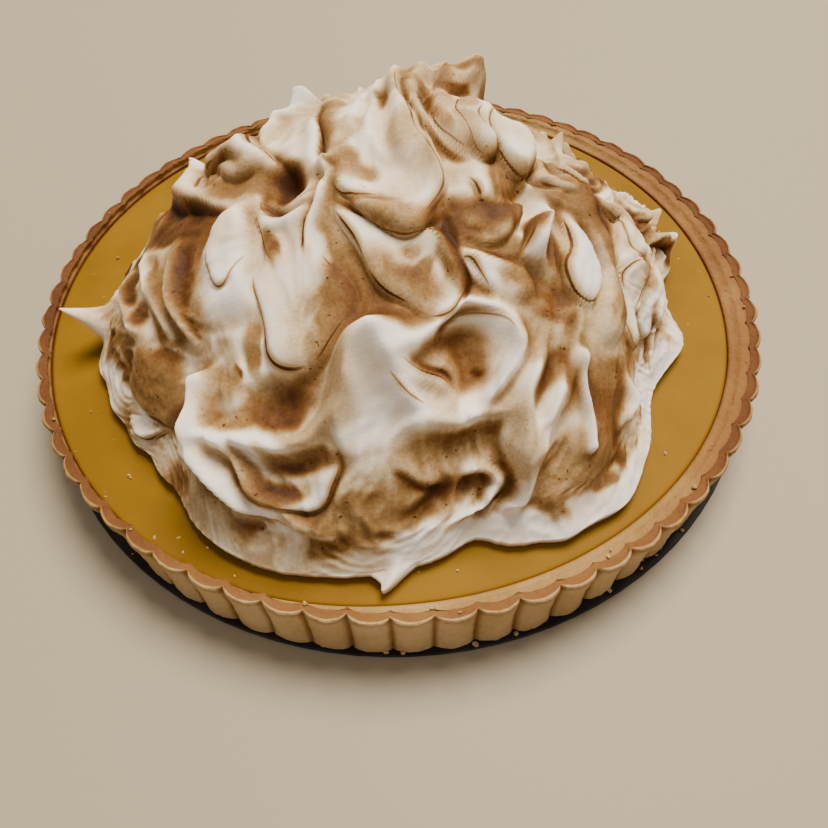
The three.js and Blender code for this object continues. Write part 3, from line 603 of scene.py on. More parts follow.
shownFolds = [
    # broad forms
    swell((2, 16), (24, 16), 0, 5),
    swell((11, 22), (13, 13), 0, 9),
    swell((-34, 10), (14, 8), 20, 1),
    swell((22, -23), (8, 7), 0, -6, 0.05),
    swell((-40, -34), (12, 14), 0, 4),
    swell((-6, -48), (12, 12), 0, 4),
    swell((38, -18), (12, 12), 0, 4),
    swell((56, -28), (12, 16), 0, 3),
    swell((-25, -53), (13, 7), 8, -5, 0.64),
    swell((9, -69), (15, 6), 0, -2, 0.5),
    # left shoulder
    sheet((-18, 26), (-24, 6), (-23, -9), (6, 5), 3, dish=1, brown=0.12, edge=0.3),
    patch((-25, 4), (4, 6), 0, 0.3),
    sheet((-46, 17), (-41, 8), (-34, -3), (4, 5), 6, (1, 2), 1, 0.22, 0.45, 0.6),
    lip((-27, -11), (-32, -1), (-43, 14), 3, 5, 4, 0.35, 0.75, 1),
    lip((-48, 1), (-41, 3), (-33, -4), 3, 4, 5, 0.3, 0.8, 1),
    lip((-45, -8), (-47, -3), (-47, 3), 2, 3, 3, 0.2, 0.6, 1),
    # painted shade: this patch and the low side of the lip above darken the hollow east of that lip
    patch((-39, -8), (7, 4.5), 10, 0.75),
    lip((-58, 0), (-48, -6), (-35, -18), 3.5, 4, 9, 0.4, 0.95, 0.8),
    patch((-52, -11), (13, 3.5), -25, 0.92),
    # left side
    ridge((-61, -12), (-57, -24), (-54, -38), 3, 3, 0.1),
    ridge((-69, -14), (-67, -26), (-63, -36), 3, 3, 0.35),
    patch((-66, -18), (3.5, 6), 0, 0.75),
    patch((-61, -15), (2, 5), 0, 0.1),
    patch((-56, -18), (2, 8), -5, 0.5),
    ridge((-50, -18), (-49, -30), (-46, -42), 3, 4, 0.6),
    patch((-49, -27), (2, 14), 5, 0.7),
    patch((-45, -37), (1.5, 5), 20, 0.8),
    sheet((-37, -16), (-35.5, -24), (-34.5, -33), (5.5, 7.5), 6.5, (1, 1), -2, 0.02, 0.15, 0.2),
    lip((-38.5, -24), (-35, -32.5), (-30.5, -27), 1.6, 3, 1.5, None, None, 1),
    lip((-26, -37), (-26.5, -29), (-30, -20), 3, 4, 3, 0.15, 0.6, 0.7),
    patch((-42, -34), (3, 3), 30, 0.5),
    # pocket and leaf
    sheet((-24, -12), (-24, -24), (-23, -35), (8.5, 1.5), 5.5, (2.5, 2.5), 4, 0.15, 0.2, 1),
    swell((-26, -12), (7, 6), 0, -8, 0.72),
    lip((-17, -19), (-24, -22), (-31.5, -14), 3, 3, 4, 0.12, 0.85, 1),
    lip((-18, -16), (-25, -18), (-30, -11), 1.5, 1.5, 2, 0.5, 0.85, 0.9),
    patch((-26.5, -27), (2, 7), 10, 0.8),
    patch((-22, -27), (1.5, 5), -10, 0.05),
    lip((-15.5, -11), (-17, -21), (-22.5, -35), 4.5, 4, 4, 0.35, 0.5, 1),
    peak((-15.5, -11), 3.5, 7, (0, 1.5), 0.85),
    # tongues in the middle
    sheet((-17, -24), (-12, -36), (-7, -44), (6, 10), 3, dish=2, brown=0.66, edge=0.55),
    patch((-17, -31), (2.5, 7), 12, 0.05),
    sheet((-14, -14), (-6, -27), (4, -37), (3.5, 6.5), 5, (2, 2), 2, 0.04, 0.35, 1),
    patch((7, -33), (4, 9), 18, 0.85),
    patch((-1, -31), (3, 2), -30, 0.5),
    ridge((1, -27), (5, -33), (8, -38), 2, 1.8, None, 0.8),
    sheet((-8, 30), (-12, 4), (-1, -21), (11, 6), 7.5, (2, 3), 7, 0.05, 0.3, 0.8),
    ridge((-4, 20), (-5.5, 1), (-1, -15), 2, 2.6),
    ridge((-8, 18), (-10.5, 0), (-5, -13), 2, 2.4),
    ridge((-12, 16), (-14, 2), (-9, -10), 2, 2),
    lip((-7, -18), (-20, -5), (-18, 13), 2, 2.5, 4.5, 0.15, 0.75, 0.4),
    swell((-2, 18), (14, 9), 0, 3),
    lip((-15, -15), (-9, -20), (0, -23), 2.5, 3, 3, 0.3, 0.75, 1),
    lip((-14, -18), (-7, -24), (4, -26), 3, 3, 3, 0.6, 0.85, 1),
    lip((-9, -22), (-1, -27), (8, -25), 2.5, 3, 3, 0.8, 0.5, 1),
    ridge((0, 20), (0.5, -3), (4, -20), 3, 2.4, 0.3, 0),
    sheet((13, 28), (12, 10), (9, -7), (8, 5.5), 8.5, (1.5, 2.5), 2, 0.1, 0.4, 0.8),
    swell((14, 18), (11, 8), 20, 12),
    lip((1, -4), (4, -12), (10, -13), 2, 3, 4, 0.2, 0.72, 0.9),
    patch((4, 1), (3, 4), 0, 0.7),
    patch((6, -7), (2, 4), 20, 0.6),
    patch((13, -2), (2.5, 4), 0, 0.62),
    patch((10, 12), (6, 2), 0, 0.5),
    ridge((-8, 24), (4, 24), (17, 21), 5, 3),
    swell((12, 20), (6, 4), -10, 3, 0.5),
    peak((2, 27), 4, 3, (0, 1), 0.7),
    # right shoulder
    patch((24, 7), (9, 4), 0, 0.9),
    ridge((22, 10), (28, 8), (33, 0), 3, 4, 0.7, 0.9),
    sheet((16, 2), (15, -4), (14, -9), (4.5, 4.5), 8, (2, 2), -1.5, 0.03, 0.3, 1),
    lip((15.5, -11), (14, -8), (15, -3), 1, 1.5, 1, None, None, 0.9),
    sheet((21, 0), (20.5, -6), (22, -12), (3.5, 4.5), 7, (2, 2), -1.5, 0.03, 0.3, 1),
    patch((17, -18), (6, 4), -5, 0.75),
    peak((24, -17), 3, 3, (0, 0), 0.8),
    peak((27, -18), 2, 3, (0, 0), 0),
    lip((28, -6), (29, -14), (37, -18), 3, 4, 4, 0.6, 0.6, 0.9),
    lip((33, -4), (38, -10), (44, -12), 3, 3, 4, 0.5, 0.8, 0.9),
    patch((36, -7), (3, 2.5), 0, 0.85),
    lip((9.5, -17), (12.5, -21), (10, -27), 3, 2.5, 2, 0.2, 0.6, 1),
    sheet((10, -21), (14, -24.5), (20, -23), (4, 3), 4, (0.5, 2), 1, 0.85, 0.6, 0.4),
    lip((10, -30), (15.5, -30), (19, -24), 2, 3, 3, 0.85, 0.4, 1),
    lip((26, -25), (24, -30), (20, -34), 3, 3, 2.5, 0.3, 0.9, 0.9),
    ridge((29, -24), (26, -29), (22, -35), 2.5, 4, 0.03),
    swell((24, -37), (8, 4), -15, -3, 0.6),
    patch((29, -36), (3, 4), 0, 0.85),
    sheet((38, -19), (46, -28), (43, -40), (4, 6), 6, (1.5, 1), -2, 0.62, 0.45, 0.3),
    sheet((36, -23), (36, -28), (34, -34), (2.5, 5), 6, (2, 2), -1, 0.02, 0.12, 1),
    lip((44, -16), (50, -12), (58, -8), 3, 4, 4, 0.1, 0.4, 1),
    sheet((50, -4), (54, -8), (56, -14), (4, 5), 6, (2, 2), 0, 0.1, 0.4, 0.8),
    ridge((60, -12), (64, -14), (64, -20), 2.5, 3, 0.4, 0.5),
    sheet((68, -14), (70, -22), (66, -34), (5, 6), 4.5, (2, 1), -1, 0.05, 0.3, 0.5),
    sheet((57, -20), (55, -29), (56, -40), (5, 6.5), 5.5, (2, 2), -2, 0.02, 0.2, 0.7),
    lip((61, -20), (53, -28), (53, -36), 1.5, 3, 2, None, 0.3, 1),
    lip((60, -22), (60, -31), (57, -40), 1.5, 3, 2, None, 0.3, 1),
    swell((62, -44), (6, 8), 10, -5, 0.86),
    lip((69, -27), (75, -39), (82, -50), 2, 4, 4, 0.15, 0.7, 0.7),
    patch((68, -45), (3, 6), 10, 0.6),
    sheet((9, -33), (13, -36), (18, -39), (2, 4), 5, (2, 0), 1, 0.06, 0.15, 0.4),
    lip((10, -35), (13, -35), (15, -40), 1.5, 2, 2, None, 0.3, 0.9),
    patch((12, -40), (3, 1.5), -20, 0.6),
    # front
    sheet((-24, -28), (-22, -36), (-20, -40.5), (6, 9), 5, (1.5, 2.5), 2.5, 0.08, 0.15, 1),
    patch((-12, -38), (6, 9), 12, 0.66),
    patch((-18, -40), (2, 4), -20, 0.5),
    patch((-16, -46), (4, 2), 5, 0.6),
    patch((-25, -53.5), (11, 5.5), 8, 0.64),
    patch((-21, -52), (4, 3.5), 8, 0.78),
    ridge((-45, -59), (-29, -62.5), (-14, -56), 3.5, 4, 0.03),
    sheet((7, -43), (10, -51), (13, -60), (10.5, 2.5), 2, (1, 1), 4, 0.62, 0.3, 0),
    ridge((-3, -50), (7, -42.5), (18, -47), 3.5, 4.5, 0.02),
    lip((18, -47), (10, -44.5), (2, -47), 1.5, 3, 2, 0.1, 0.6, 0.6),
    ridge((18.5, -46), (18, -53), (12, -62), 3, 4, 0.02),
    lip((8, -59.5), (3, -55.5), (-2, -51), 2.5, 2, 2.5, 0.35, 0.85, 1),
    patch((12, -54), (2, 1), 20, 0.9),
    patch((-38, -44), (4, 4), 0, 0.4),
    patch((-35.5, -48), (2, 1.5), -20, 0.9),
    sheet((-37, -51), (-37, -53), (-36.5, -54), (3, 3.5), 3.5, (0.5, 0.5), 0, 0.12, 0.2, 0.4),
    ridge((-44, -51), (-43, -61), (-35, -74), 4, 6, 0.02),
    ridge((-34, -70), (-26, -76), (-16, -84), 4, 3, 0.1),
    lip((-45, -61), (-38, -71), (-28, -78), 3, 3, 4, 0.15, 0.65, 0.7),
    patch((-35, -67), (2.5, 9), 45, 0.6),
    ridge((-40, -60), (-33, -67), (-25, -75), 2.5, 3, 0.1),
    peak((-44, -51.5), 4, 5, (0, 1), 0.1),
    swell((-22, -65), (8, 3.5), -5, -2, 0.7),
    lip((-34, -67), (-20, -75), (-16, -60), 3, 4, 3, 0.08, 0.7, 1),
    lip((-31, -75), (-26, -79), (-19, -81), 2, 3, 2, 0.1, 0.85, 0.8),
    patch((-12, -78), (12, 8), -10, 0.7),
    sheet((-70, -36), (-64, -43), (-58, -49), (7, 8), 4, (1, 1.5), -0.5, 0.72, 0.5, 0.5),
    lip((-79, -52), (-72, -59), (-61, -56), 3, 3, 3, 0.3, 0.05, 1),
    lip((-62, -60), (-60, -63), (-57, -67), 1.5, 2, 2, None, None, 1),
    patch((-64, -29), (6, 3), 0, 0.02),
    patch((-74, -33), (1.5, 5), 20, 0.5),
    patch((-8, -56), (8, 11), 0, 0.0),
    ridge((-7, -46), (-11, -53), (-14, -62), 5, 5, 0.0),
    ridge((-7, -46), (-3, -52), (0, -61), 5, 4, 0.0),
    peak((-7, -46), 9, 10, (0, 2), 0.0),
    lip((2, -60), (-1, -57), (-3.5, -53), 1.5, 2, 2, None, None, 0.8),
    ridge((0, -62), (10, -64), (21, -59), 5, 3, 0.0),
    patch((9, -69.5), (15, 5), 0, 0.55),
    ridge((23, -51), (23.5, -66), (26, -85), 4.5, 7, 0.0),
    ridge((30, -54), (28.5, -60), (25.5, -70), 3.5, 4, 0.0),
    sheet((36, -60), (40, -71), (38, -79), (8, 11), 3.5, dish=-1.5, brown=0.6, edge=0.4),
    patch((38, -73), (12, 12), 10, 0.6),
    patch((43, -57), (4, 6), 0, 0.75),
    ridge((35, -49), (35.5, -58), (37.5, -68), 1.7, 3, 0.0),
    peak((34, -50), 3.5, 4, (0, 1), 0.03),
    peak((37.8, -67), 1.7, 2.5, (0, 0), 0.02),
    patch((4, -78), (14, 9), -15, 0.66),
    swell((3, -79), (6, 8), -25, -4, 0.82),
    swell((11, -80), (4, 6), -35, -3, 0.7),
    lip((-6, -71), (0, -73), (7, -77), 1.5, 3, 3, 0.6, 0.85, 0.6),
    ridge((12, -75), (18, -76), (18.5, -84), 2.5, 3, 0.05),
    ridge((18.5, -82), (16, -87), (9, -88), 2.5, 3.5, 0.05),
    ridge((50, -52), (54, -58), (50, -62), 3, 3, 0.05),
    patch((55, -54), (3, 2), 0, 0.5),
    peak((-91, -15), 9, 22, (0, -4), 0.1),
    peak((-3, -98), 6, 4),
]

# Where the flame browned it most: place, size, turn and tone.
scorched = [
    ((-18, 5), (2.5, 11), 0, 0.66), ((-16, -5), (2.5, 7), 25, 0.64), ((-11.5, -13), (2.2, 7), 42, 0.6),
    ((-14, -4), (1.6, 4), 0, 0.45), ((-8.5, 6), (2, 8), 0, 0.56), ((-8, -16), (3, 4), 50, 0.6),
    ((-12, -4), (3, 4), 20, 0.35), ((5, 5), (2.2, 3.5), 0, 0.62), ((13, -3), (2, 3.5), 0, 0.55),
    ((-2, 14), (3, 10), 0, 0.4), ((-12, -15), (4, 4), -40, 0.6), ((3, 6), (3, 8), 12, 0.6),
    ((3, -11), (2, 6), 20, 0.66), ((12, 21), (9, 4), 0, 0.55), ((-35, -3), (7, 7), 0, 0.36),
    ((-38, -10), (6, 3), -20, 0.7), ((-45, 6), (8, 8), 0, 0.34), ((-49, -1), (3, 8), 0, 0.5),
    ((34, -8), (8, 6), 20, 0.72), ((19, -17), (7, 5), -5, 0.62), ((7, -31), (4, 8), 20, 0.75),
    ((1, -35), (3, 2.5), 20, 0.55), ((-7, -38), (13, 9), -15, 0.68), ((-13, -35), (5, 8), 10, 0.66),
    ((-13, -43), (5, 6), 15, 0.68), ((8.3, -30), (2.4, 6), 8, 0.92), ((9.5, -37), (2, 4), 10, 0.85),
    ((17, -24), (5, 3), -8, 0.86), ((28, -32), (3.5, 4.5), 0, 0.88), ((17, -30), (6, 4), -20, 0.6),
    ((25, -28), (2, 6), -35, 0.85), ((24, -38), (9, 5), 0, 0.62), ((29, -37), (4, 4), 0, 0.85),
    ((45, -28), (7, 13), 10, 0.6), ((64, -24), (4, 7), 0, 0.6), ((24, -47), (9, 5), 0, 0.45),
    ((42, -53), (6, 4), -20, 0.6), ((57, -46), (4, 6), 0, 0.55), ((42, -60), (6, 6), 0, 0.7),
    ((-63, -27), (5, 6), 0, 0.66), ((-54, -27), (5, 9), 0, 0.5), ((-49, -33), (3, 9), 8, 0.7),
    ((-38, -51), (5, 5), 0, 0.5), ((-48, -62), (3, 7), 25, 0.62), ((-31, -45), (3, 7), 0, 0.6),
    ((-31, -68), (2.5, 9), 45, 0.6), ((-28, -71), (7, 3), -20, 0.8), ((-21, -64), (7, 3.5), -5, 0.68),
    ((-20, -80), (12, 5), -5, 0.62), ((-34, -86), (8, 4), 20, 0.4), ((-70, -63), (8, 4), 40, 0.4),
    ((-58, -45), (9, 8), 0, 0.72),
]


looseSet = {
    "seed": 4021,
    "count": 230,
    "turns": 0.618,        # share of the circle from each to the next
    "spread": 0.7549,      # the same for how far down the mound they lie
    "nearest": 14,
    "farthest": 97,
    "kept": 16,            # how far behind the crown they start, so that the named folds stay clear
    # where none lies, and how wide: the crown's far edge and the foot behind the long spike
    "bare": [((7, 23), 12), ((-88, 3), 10)],
}


# Strokes of the same kinds all round, placed by a seeded draw: what the named folds leave bare.
def looseFolds(s):
    seed = s["seed"]
    factor, modulus = 16807, 2147483647   # a plain repeatable draw

    def draw(low, high):
        nonlocal seed
        seed = (seed * factor) % modulus
        return mixed(low, high, seed / modulus)

    folds = []
    for index in range(s["count"]):
        bearing = radians(360 * (index * s["turns"]) % 360)
        way = mixed(s["nearest"], s["farthest"], ((index * s["spread"]) % 1) ** 0.5)
        heading = bearing + radians(draw(-80, 80))
        bend = draw(-0.7, 0.7)
        reach = draw(5, 13)
        middle = (way * cos(bearing), way * sin(bearing))
        if middle[1] < s["kept"] - 0.2 * abs(middle[0]):
            continue
        tail, tip = [(middle[0] + side * reach * cos(heading + side * bend),
                      middle[1] + side * reach * sin(heading + side * bend)) for side in (-1, 1)]
        line = (tail, middle, tip)
        tone = 0.5 + 0.5 * sin(middle[0] / 13 + 2 * sin(middle[1] / 17)) * sin(middle[1] / 11 + 1)
        burnt = (index * 0.413) % 1
        if index % 3 == 0:
            folds.append(ridge(*line, draw(3, 6), draw(3, 7), 0.4 * tone, 0.5 * burnt))
        elif index % 3 == 1:
            rise, top, under = draw(2, 5), draw(4, 7), draw(3, 6)
            folds.append(lip(*line, rise, top, under, 0.8 * tone, 0.3 + 0.6 * tone, burnt))
        else:
            wide = (draw(3, 5), draw(5, 8))
            lips = (draw(0, 2), draw(1, 3))
            folds.append(sheet(*line, wide, draw(1, 5), lips, draw(-1, 4), 0.8 * tone, 0.4, burnt))
    for place, wide in s["bare"]:
        folds = [fold for fold in folds if np.hypot(*np.subtract(fold["line"][1], place)) > wide]
    return folds


# How far along a bent line each place is, how far beside it, on which side, and which way it lies.
def placeOnLine(line, across, away):
    tail, middle, tip = (np.array(place, float) for place in line)
    pull = 2 * middle - (tail + tip) / 2
    gap = np.full(across.shape, 1e9)
    along = np.zeros(across.shape)
    side = np.zeros(across.shape)
    out = np.zeros((2, *across.shape))
    start = tail
    steps = 16
    for step in range(1, steps + 1):
        share = step / steps
        to = (1 - share) ** 2 * tail + 2 * share * (1 - share) * pull + share ** 2 * tip
        run = to - start
        off = np.stack([across - start[0], away - start[1]])
        part = limited((off[0] * run[0] + off[1] * run[1]) / (run @ run))
        beside = off - part * run[:, None]
        found = np.hypot(*beside)
        closer = found < gap
        gap = np.where(closer, found, gap)
        along = np.where(closer, (step - 1 + part) / steps, along)
        side = np.where(closer, (run[0] * off[1] - run[1] * off[0]) / np.hypot(*run), side)
        out = np.where(closer, beside / np.maximum(found, 1e-6), out)
        start = to
    return gap, along, side, out


# Keeps, for each place, how far it is from the nearest burnt line and how burnt that line is.
def markLip(skin, index, lipGap, singe):
    strength = singe * ease(1.3, 0.7, np.abs(lipGap))
    closer = strength > skin["singe"][index]
    skin["lip"][index] = np.where(closer, lipGap, skin["lip"][index])
    skin["singe"][index] = np.where(closer, strength, skin["singe"][index])


plainTone = 0.07   # a sheet that is paler than this keeps clear of the haze
lipPlace = 0.83    # where a sheet's burnt line runs, as a share of its half width


# Brings what a fold covers of the skin part of the way to a new value.
def layOver(skin, key, index, value, share):
    skin[key][index] = mixed(skin[key][index], value, share)


def laySheet(fold, skin, index, across, away):
    gap, along, side, out = placeOnLine(fold["line"], across, away)
    width = mixed(fold["wide"][0], fold["wide"][1], along)
    reach = gap / width
    rim = mixed(fold["lips"][1], fold["lips"][0], ease(-1, 1, side / width)) * ease(0, 0.4, along)
    softness = mixed(0.8, np.clip(0.18 + 0.035 * fold["level"], 0.25, 0.5), limited(rim / 2))
    cover = (1 - ease(1 - softness, 1, reach)) * ease(-0.1, 0.35, along) * (reach < 1)
    combed = 0.25 * np.sin(2.2 * side + 1.5 * np.sin(4 * along)) + 0.1 * np.sin(4.9 * side + 2)
    combed = combed * limited(5 / width) ** 2
    own = fold["level"] + rim * reach ** 3 - (fold["dish"] + combed) * (1 - reach * reach)
    layOver(skin, "height", index, own, cover)
    lean = moundSet["overhang"] * limited(rim / 2)
    lean = lean * ease(0.5, 0.85, reach) * ease(1.2, 0.9, reach)
    for axis, key in enumerate(("slideU", "slideV")):
        skin[key][index] = skin[key][index] * (1 - cover) + lean * out[axis]
    layOver(skin, "plain", index, float(fold["brown"] < plainTone), cover)
    brown = mixed(fold["brown"], fold["edge"], ease(0.4, 0.95, reach))
    layOver(skin, "toast", index, brown, cover)
    skin["singe"][index] *= 1 - ease(0.3, 0.7, cover)
    singe = fold["singe"] * limited(rim / 1.5) * ease(0.05, 0.4, along)
    markLip(skin, index, (lipPlace - reach) * width, singe)


def layRidge(fold, skin, index, across, away):
    gap, along, side, _ = placeOnLine(fold["line"], across, away)
    reach = np.minimum(gap / fold["wide"], 1)
    share = (1 - reach) ** 1.7 * np.sqrt(np.sin(pi * mixed(0.05, 0.95, along)))
    skin["height"][index] += moundSet["relief"] * fold["rise"] * share
    if fold["brown"] is not None:
        layOver(skin, "toast", index, fold["brown"], limited(1.8 * share))
    if fold["singe"]:
        markLip(skin, index, side, fold["singe"] * np.sin(pi * along) * (gap < 2))


def layLip(fold, skin, index, across, away):
    gap, along, side, out = placeOnLine(fold["line"], across, away)
    taper = np.sqrt(np.sin(pi * along))
    above = ease(-0.6, 0.6, side)
    top = above * (1 - np.minimum(gap / fold["wide"][0], 1)) * taper
    low = (1 - above) * (1 - np.minimum(gap / fold["wide"][1], 1)) * taper
    skin["height"][index] += moundSet["relief"] * fold["rise"] * (top ** 1.5 - 0.6 * low ** 2)
    lean = moundSet["overhang"] * np.clip(fold["rise"] / 3, 0.3, 1) * taper
    lean = lean * ease(1.6, 0, np.abs(side + 0.2))
    for axis, key in enumerate(("slideU", "slideV")):
        skin[key][index] -= lean * out[axis] * np.sign(side) * (gap < 2)
    for share, brown in ((top, fold["brown"]), (low, fold["below"])):
        if brown is not None:
            layOver(skin, "toast", index, brown, limited(1.4 * share))
    skin["singe"][index] *= 1 - ease(0.2, 0.6, top)
    markLip(skin, index, side, fold["singe"] * taper * (gap < 2))


def layPeak(fold, skin, index, across, away):
    reach = np.minimum(np.hypot(across - fold["at"][0], away - fold["at"][1]) / fold["wide"], 1)
    point = (1 - reach) ** 2
    skin["height"][index] += fold["rise"] * point
    skin["slideU"][index] += fold["lean"][0] * point
    skin["slideV"][index] += fold["lean"][1] * point
    if fold["brown"] is not None:
        layOver(skin, "toast", index, fold["brown"], limited(2 * point))


def laySwell(fold, skin, index, across, away):
    turn = radians(fold["turn"])
    offU = across - fold["at"][0]
    offV = away - fold["at"][1]
    reach = np.hypot((offU * cos(turn) + offV * sin(turn)) / fold["size"][0],
                     (offV * cos(turn) - offU * sin(turn)) / fold["size"][1])
    share = (1 - np.minimum(reach, 1) ** 2) ** 2
    skin["height"][index] += fold["rise"] * share
    if fold["brown"] is not None:
        spread = ease(1.0, 0.45, reach * mixed(0.7, 1.25, skin["ragged"][index]))
        layOver(skin, "toast", index, fold["brown"], spread)


layers = {"sheet": laySheet, "ridge": layRidge, "lip": layLip, "peak": layPeak, "swell": laySwell}


def layFold(fold, skin):
    ends = np.array(fold.get("line") or [fold["at"]], float)
    margin = 1.4 * np.max(fold.get("size") or fold["wide"]) + 3
    low = ends.min(0) - margin - 6
    high = ends.max(0) + margin + 6
    near = (skin["across"] > low[0]) & (skin["across"] < high[0])
    near &= (skin["away"] > low[1]) & (skin["away"] < high[1])
    index = np.nonzero(near)[0]
    layers[fold["kind"]](fold, skin, index, skin["across"][index], skin["away"][index])


# Square rows of cells pressed into a round one, as (across, away) for each corner.
def roundPlaces(cells):
    line = np.linspace(-1, 1, cells + 1)
    column, row = np.meshgrid(line, line)
    wide = np.abs(column) > np.abs(row)
    safeColumn = np.where(column == 0, 1, column)
    safeRow = np.where(row == 0, 1, row)
    angle = np.where(wide, pi / 4 * row / safeColumn, pi / 4 * column / safeRow)
    across = np.where(wide, column * np.cos(angle), row * np.sin(angle))
    away = np.where(wide, column * np.sin(angle), row * np.cos(angle))
    return 100 * across.ravel(), 100 * away.ravel()


# Bends the places a little, so that no fold keeps a drawn curve's regular outline.
def wander(across, away):
    u = across + 1.1 * np.sin(away / 5.3 + 1.7 * np.sin(across / 8.1))
    v = away + 1.1 * np.sin(across / 6.1 + 1.9 * np.sin(away / 7.7))
    return u + 0.5 * np.sin(away / 2.3 + across / 3.1), v + 0.5 * np.sin(across / 2.7 - away / 3.7)


def softened(values, times):
    side = moundSet["cells"] + 1
    grid = values.reshape(side, side)
    for _ in range(times):
        padded = np.pad(grid, 1, mode="edge")
        rows = (padded[:-2] + 2 * padded[1:-1] + padded[2:]) / 4
        grid = (rows[:, :-2] + 2 * rows[:, 1:-1] + rows[:, 2:]) / 4
    return grid.ravel()


# How much the values rise from row to row and from column to column, for each step of the chart.
def steepness(values):
    side = moundSet["cells"] + 1
    slopes = np.gradient(values.reshape(side, side), 200 / moundSet["cells"])
    return slopes[0].ravel(), slopes[1].ravel()


# Smooth random heights from 0 to 1, with bumps of the given size.
def cloud(across, away, size, seed):
    cells = 128
    grid = np.random.default_rng(seed).random((cells, cells))
    x = across / size
    y = away / size
    column = np.floor(x).astype(int)
    row = np.floor(y).astype(int)
    shareX = ease(0, 1, x - column)
    shareY = ease(0, 1, y - row)
    left, right = column % cells, (column + 1) % cells
    near = mixed(grid[row % cells, left], grid[row % cells, right], shareX)
    far = mixed(grid[(row + 1) % cells, left], grid[(row + 1) % cells, right], shareX)
    return mixed(near, far, shareY)


# Folds that the spoon left between the named ones: sharp crests along drawn-out, bent bumps.
def spoonMarks(across, away):
    u = across + 14 * (cloud(across, away, 15, 1) - 0.5)
    v = away + 14 * (cloud(across, away, 15, 2) - 0.5)
    turn = 2.5 * cloud(across, away, 40, 3)
    along = u * np.cos(turn) + v * np.sin(turn)
    beside = v * np.cos(turn) - u * np.sin(turn)
    crest = 1 - np.abs(2 * cloud(along, 1.8 * beside, 9, 4) - 1)
    small = 1 - np.abs(2 * cloud(along, 2 * beside, 4.2, 5) - 1)
    return crest ** 3 + 0.3 * small ** 2 - 0.4


spoonSet = {
    "broad": 4,            # height of the wide unevenness under every fold
    "strokes": 0.18,       # height of the last fine strokes, as a share of the marks
    "soften": [("height", 1), ("slideU", 3), ("slideV", 3)],
    "steep": (2.4, 4.8),   # slopes from which a face is smoothed more
    "calm": (4, 9),        # how often, where it is steep and where it is steepest
    "footHeight": 0.45,    # share of the relief that is left at the foot
}

flameSet = {
    "clouds": (0.35, 1.5, 0.8),   # the middle, reach and limit of the browning under every fold
    "slope": 0.2,          # how much the slope of a fold changes its browning
    "facing": 0.25,        # limit of that change
    "crest": 0.16,         # how much paler a crest is
    "haze": 0.38,          # a light browning over the white
    "hazeOnPlain": 0.5,    # share of it that a plain white sheet is spared
    "footWhite": (0.1, 0.9),      # how white the foot stays, at the left and from the middle on
}


def bareSkin():
    across, away = roundPlaces(moundSet["cells"])
    u, v = wander(across, away)
    marks = spoonMarks(u, v) * mixed(0.4, 1, ease(5, 30, v + 0.3 * np.abs(u)))
    middle, reach, most = flameSet["clouds"]
    tone = np.clip(middle + reach * (cloud(u + 5 * marks, v, 9, 7) - 0.4), 0, most)
    height = moundSet["base"] + spoonSet["broad"] * (cloud(u, v, 22, 6) - 0.5) + moundSet["marks"] * marks
    skin = {"across": u, "away": v, "height": height, "toast": tone}
    for key in ("slideU", "slideV", "plain", "singe"):
        skin[key] = np.zeros(across.shape)
    skin["ragged"] = mixed(cloud(u, v, 4.5, 8), cloud(u, v, 2, 9), 0.35)
    skin["lip"] = np.full(across.shape, 2.0)
    return across, away, skin


# Smooths all of it a little and its steep faces more, so that none is combed.
def calmSkin(skin):
    for key, times in spoonSet["soften"]:
        skin[key] = softened(skin[key], times)
    rows, columns = steepness(softened(skin["height"], 1))
    steep = ease(*spoonSet["steep"], softened(np.hypot(rows, columns), 2))
    some, more = spoonSet["calm"]
    for key in ("height", "slideU", "slideV"):
        skin[key] = mixed(skin[key], softened(skin[key], some), steep)
        skin[key] = mixed(skin[key], softened(skin[key], more), ease(0.5, 1, steep))
    skin["toast"] = mixed(skin["toast"], softened(skin["toast"], 5), steep)


# The flame browns one side of a fold more than the other, and leaves crests and the foot paler.
def brownSkin(skin, way):
    s = flameSet
    u, v = skin["across"], skin["away"]
    rows, columns = steepness(softened(skin["height"], 5))
    flame = 2 * pi * cloud(u, v, 36, 11)
    facing = s["slope"] * (columns * np.cos(flame) + rows * np.sin(flame))
    skin["toast"] += np.clip(facing, -s["facing"], s["facing"]) * ease(0, 0.25, skin["toast"])
    skin["singe"] *= limited(0.3 + 1.1 * skin["ragged"])
    crest = skin["height"] - softened(skin["height"], 8)
    skin["toast"] = limited(skin["toast"] - np.clip(s["crest"] * crest, -0.08, 0.22))
    haze = cloud(u + 6 * skin["ragged"], v, 8, 12) * cloud(u, v, 17, 13)
    haze = haze * (1 - s["hazeOnPlain"] * skin["plain"])
    skin["toast"] += s["haze"] * ease(0.1, 0.46, haze) * ease(0.35, 0.0, skin["toast"])
    clean = mixed(*s["footWhite"], ease(-45, 5, u)) * ease(-10, -40, v)
    skin["toast"] *= 1 - clean * ease(89, 94, way + 8 * (skin["ragged"] - 0.5))


def layMeringue():
    across, away, skin = bareSkin()
    for fold in looseFolds(looseSet) + shownFolds + [patch(*row) for row in scorched]:
        layFold(fold, skin)
    strokes = spoonMarks(1.9 * skin["across"] + 20, 1.9 * skin["away"])
    skin["height"] += spoonSet["strokes"] * moundSet["marks"] * strokes
    calmSkin(skin)
    way = np.hypot(across, away)
    brownSkin(skin, way)
    height = skin["height"] * mixed(1, spoonSet["footHeight"], ease(88, 100, way))
    places = (across + skin["slideU"], away + skin["slideV"])
    points = moundPoint(*places) + moundNormal(*places) * height[:, None]
    for at, wide, run in moundSet["drips"]:
        share = ease(1, 0, np.hypot(across - at[0], away - at[1]) / wide)
        points[:, :2] += share[:, None] * run
    points[:, 2] = np.maximum(points[:, 2], pieSet["curdHeight"] + pieSet["gap"] + 1)
    return points, skin


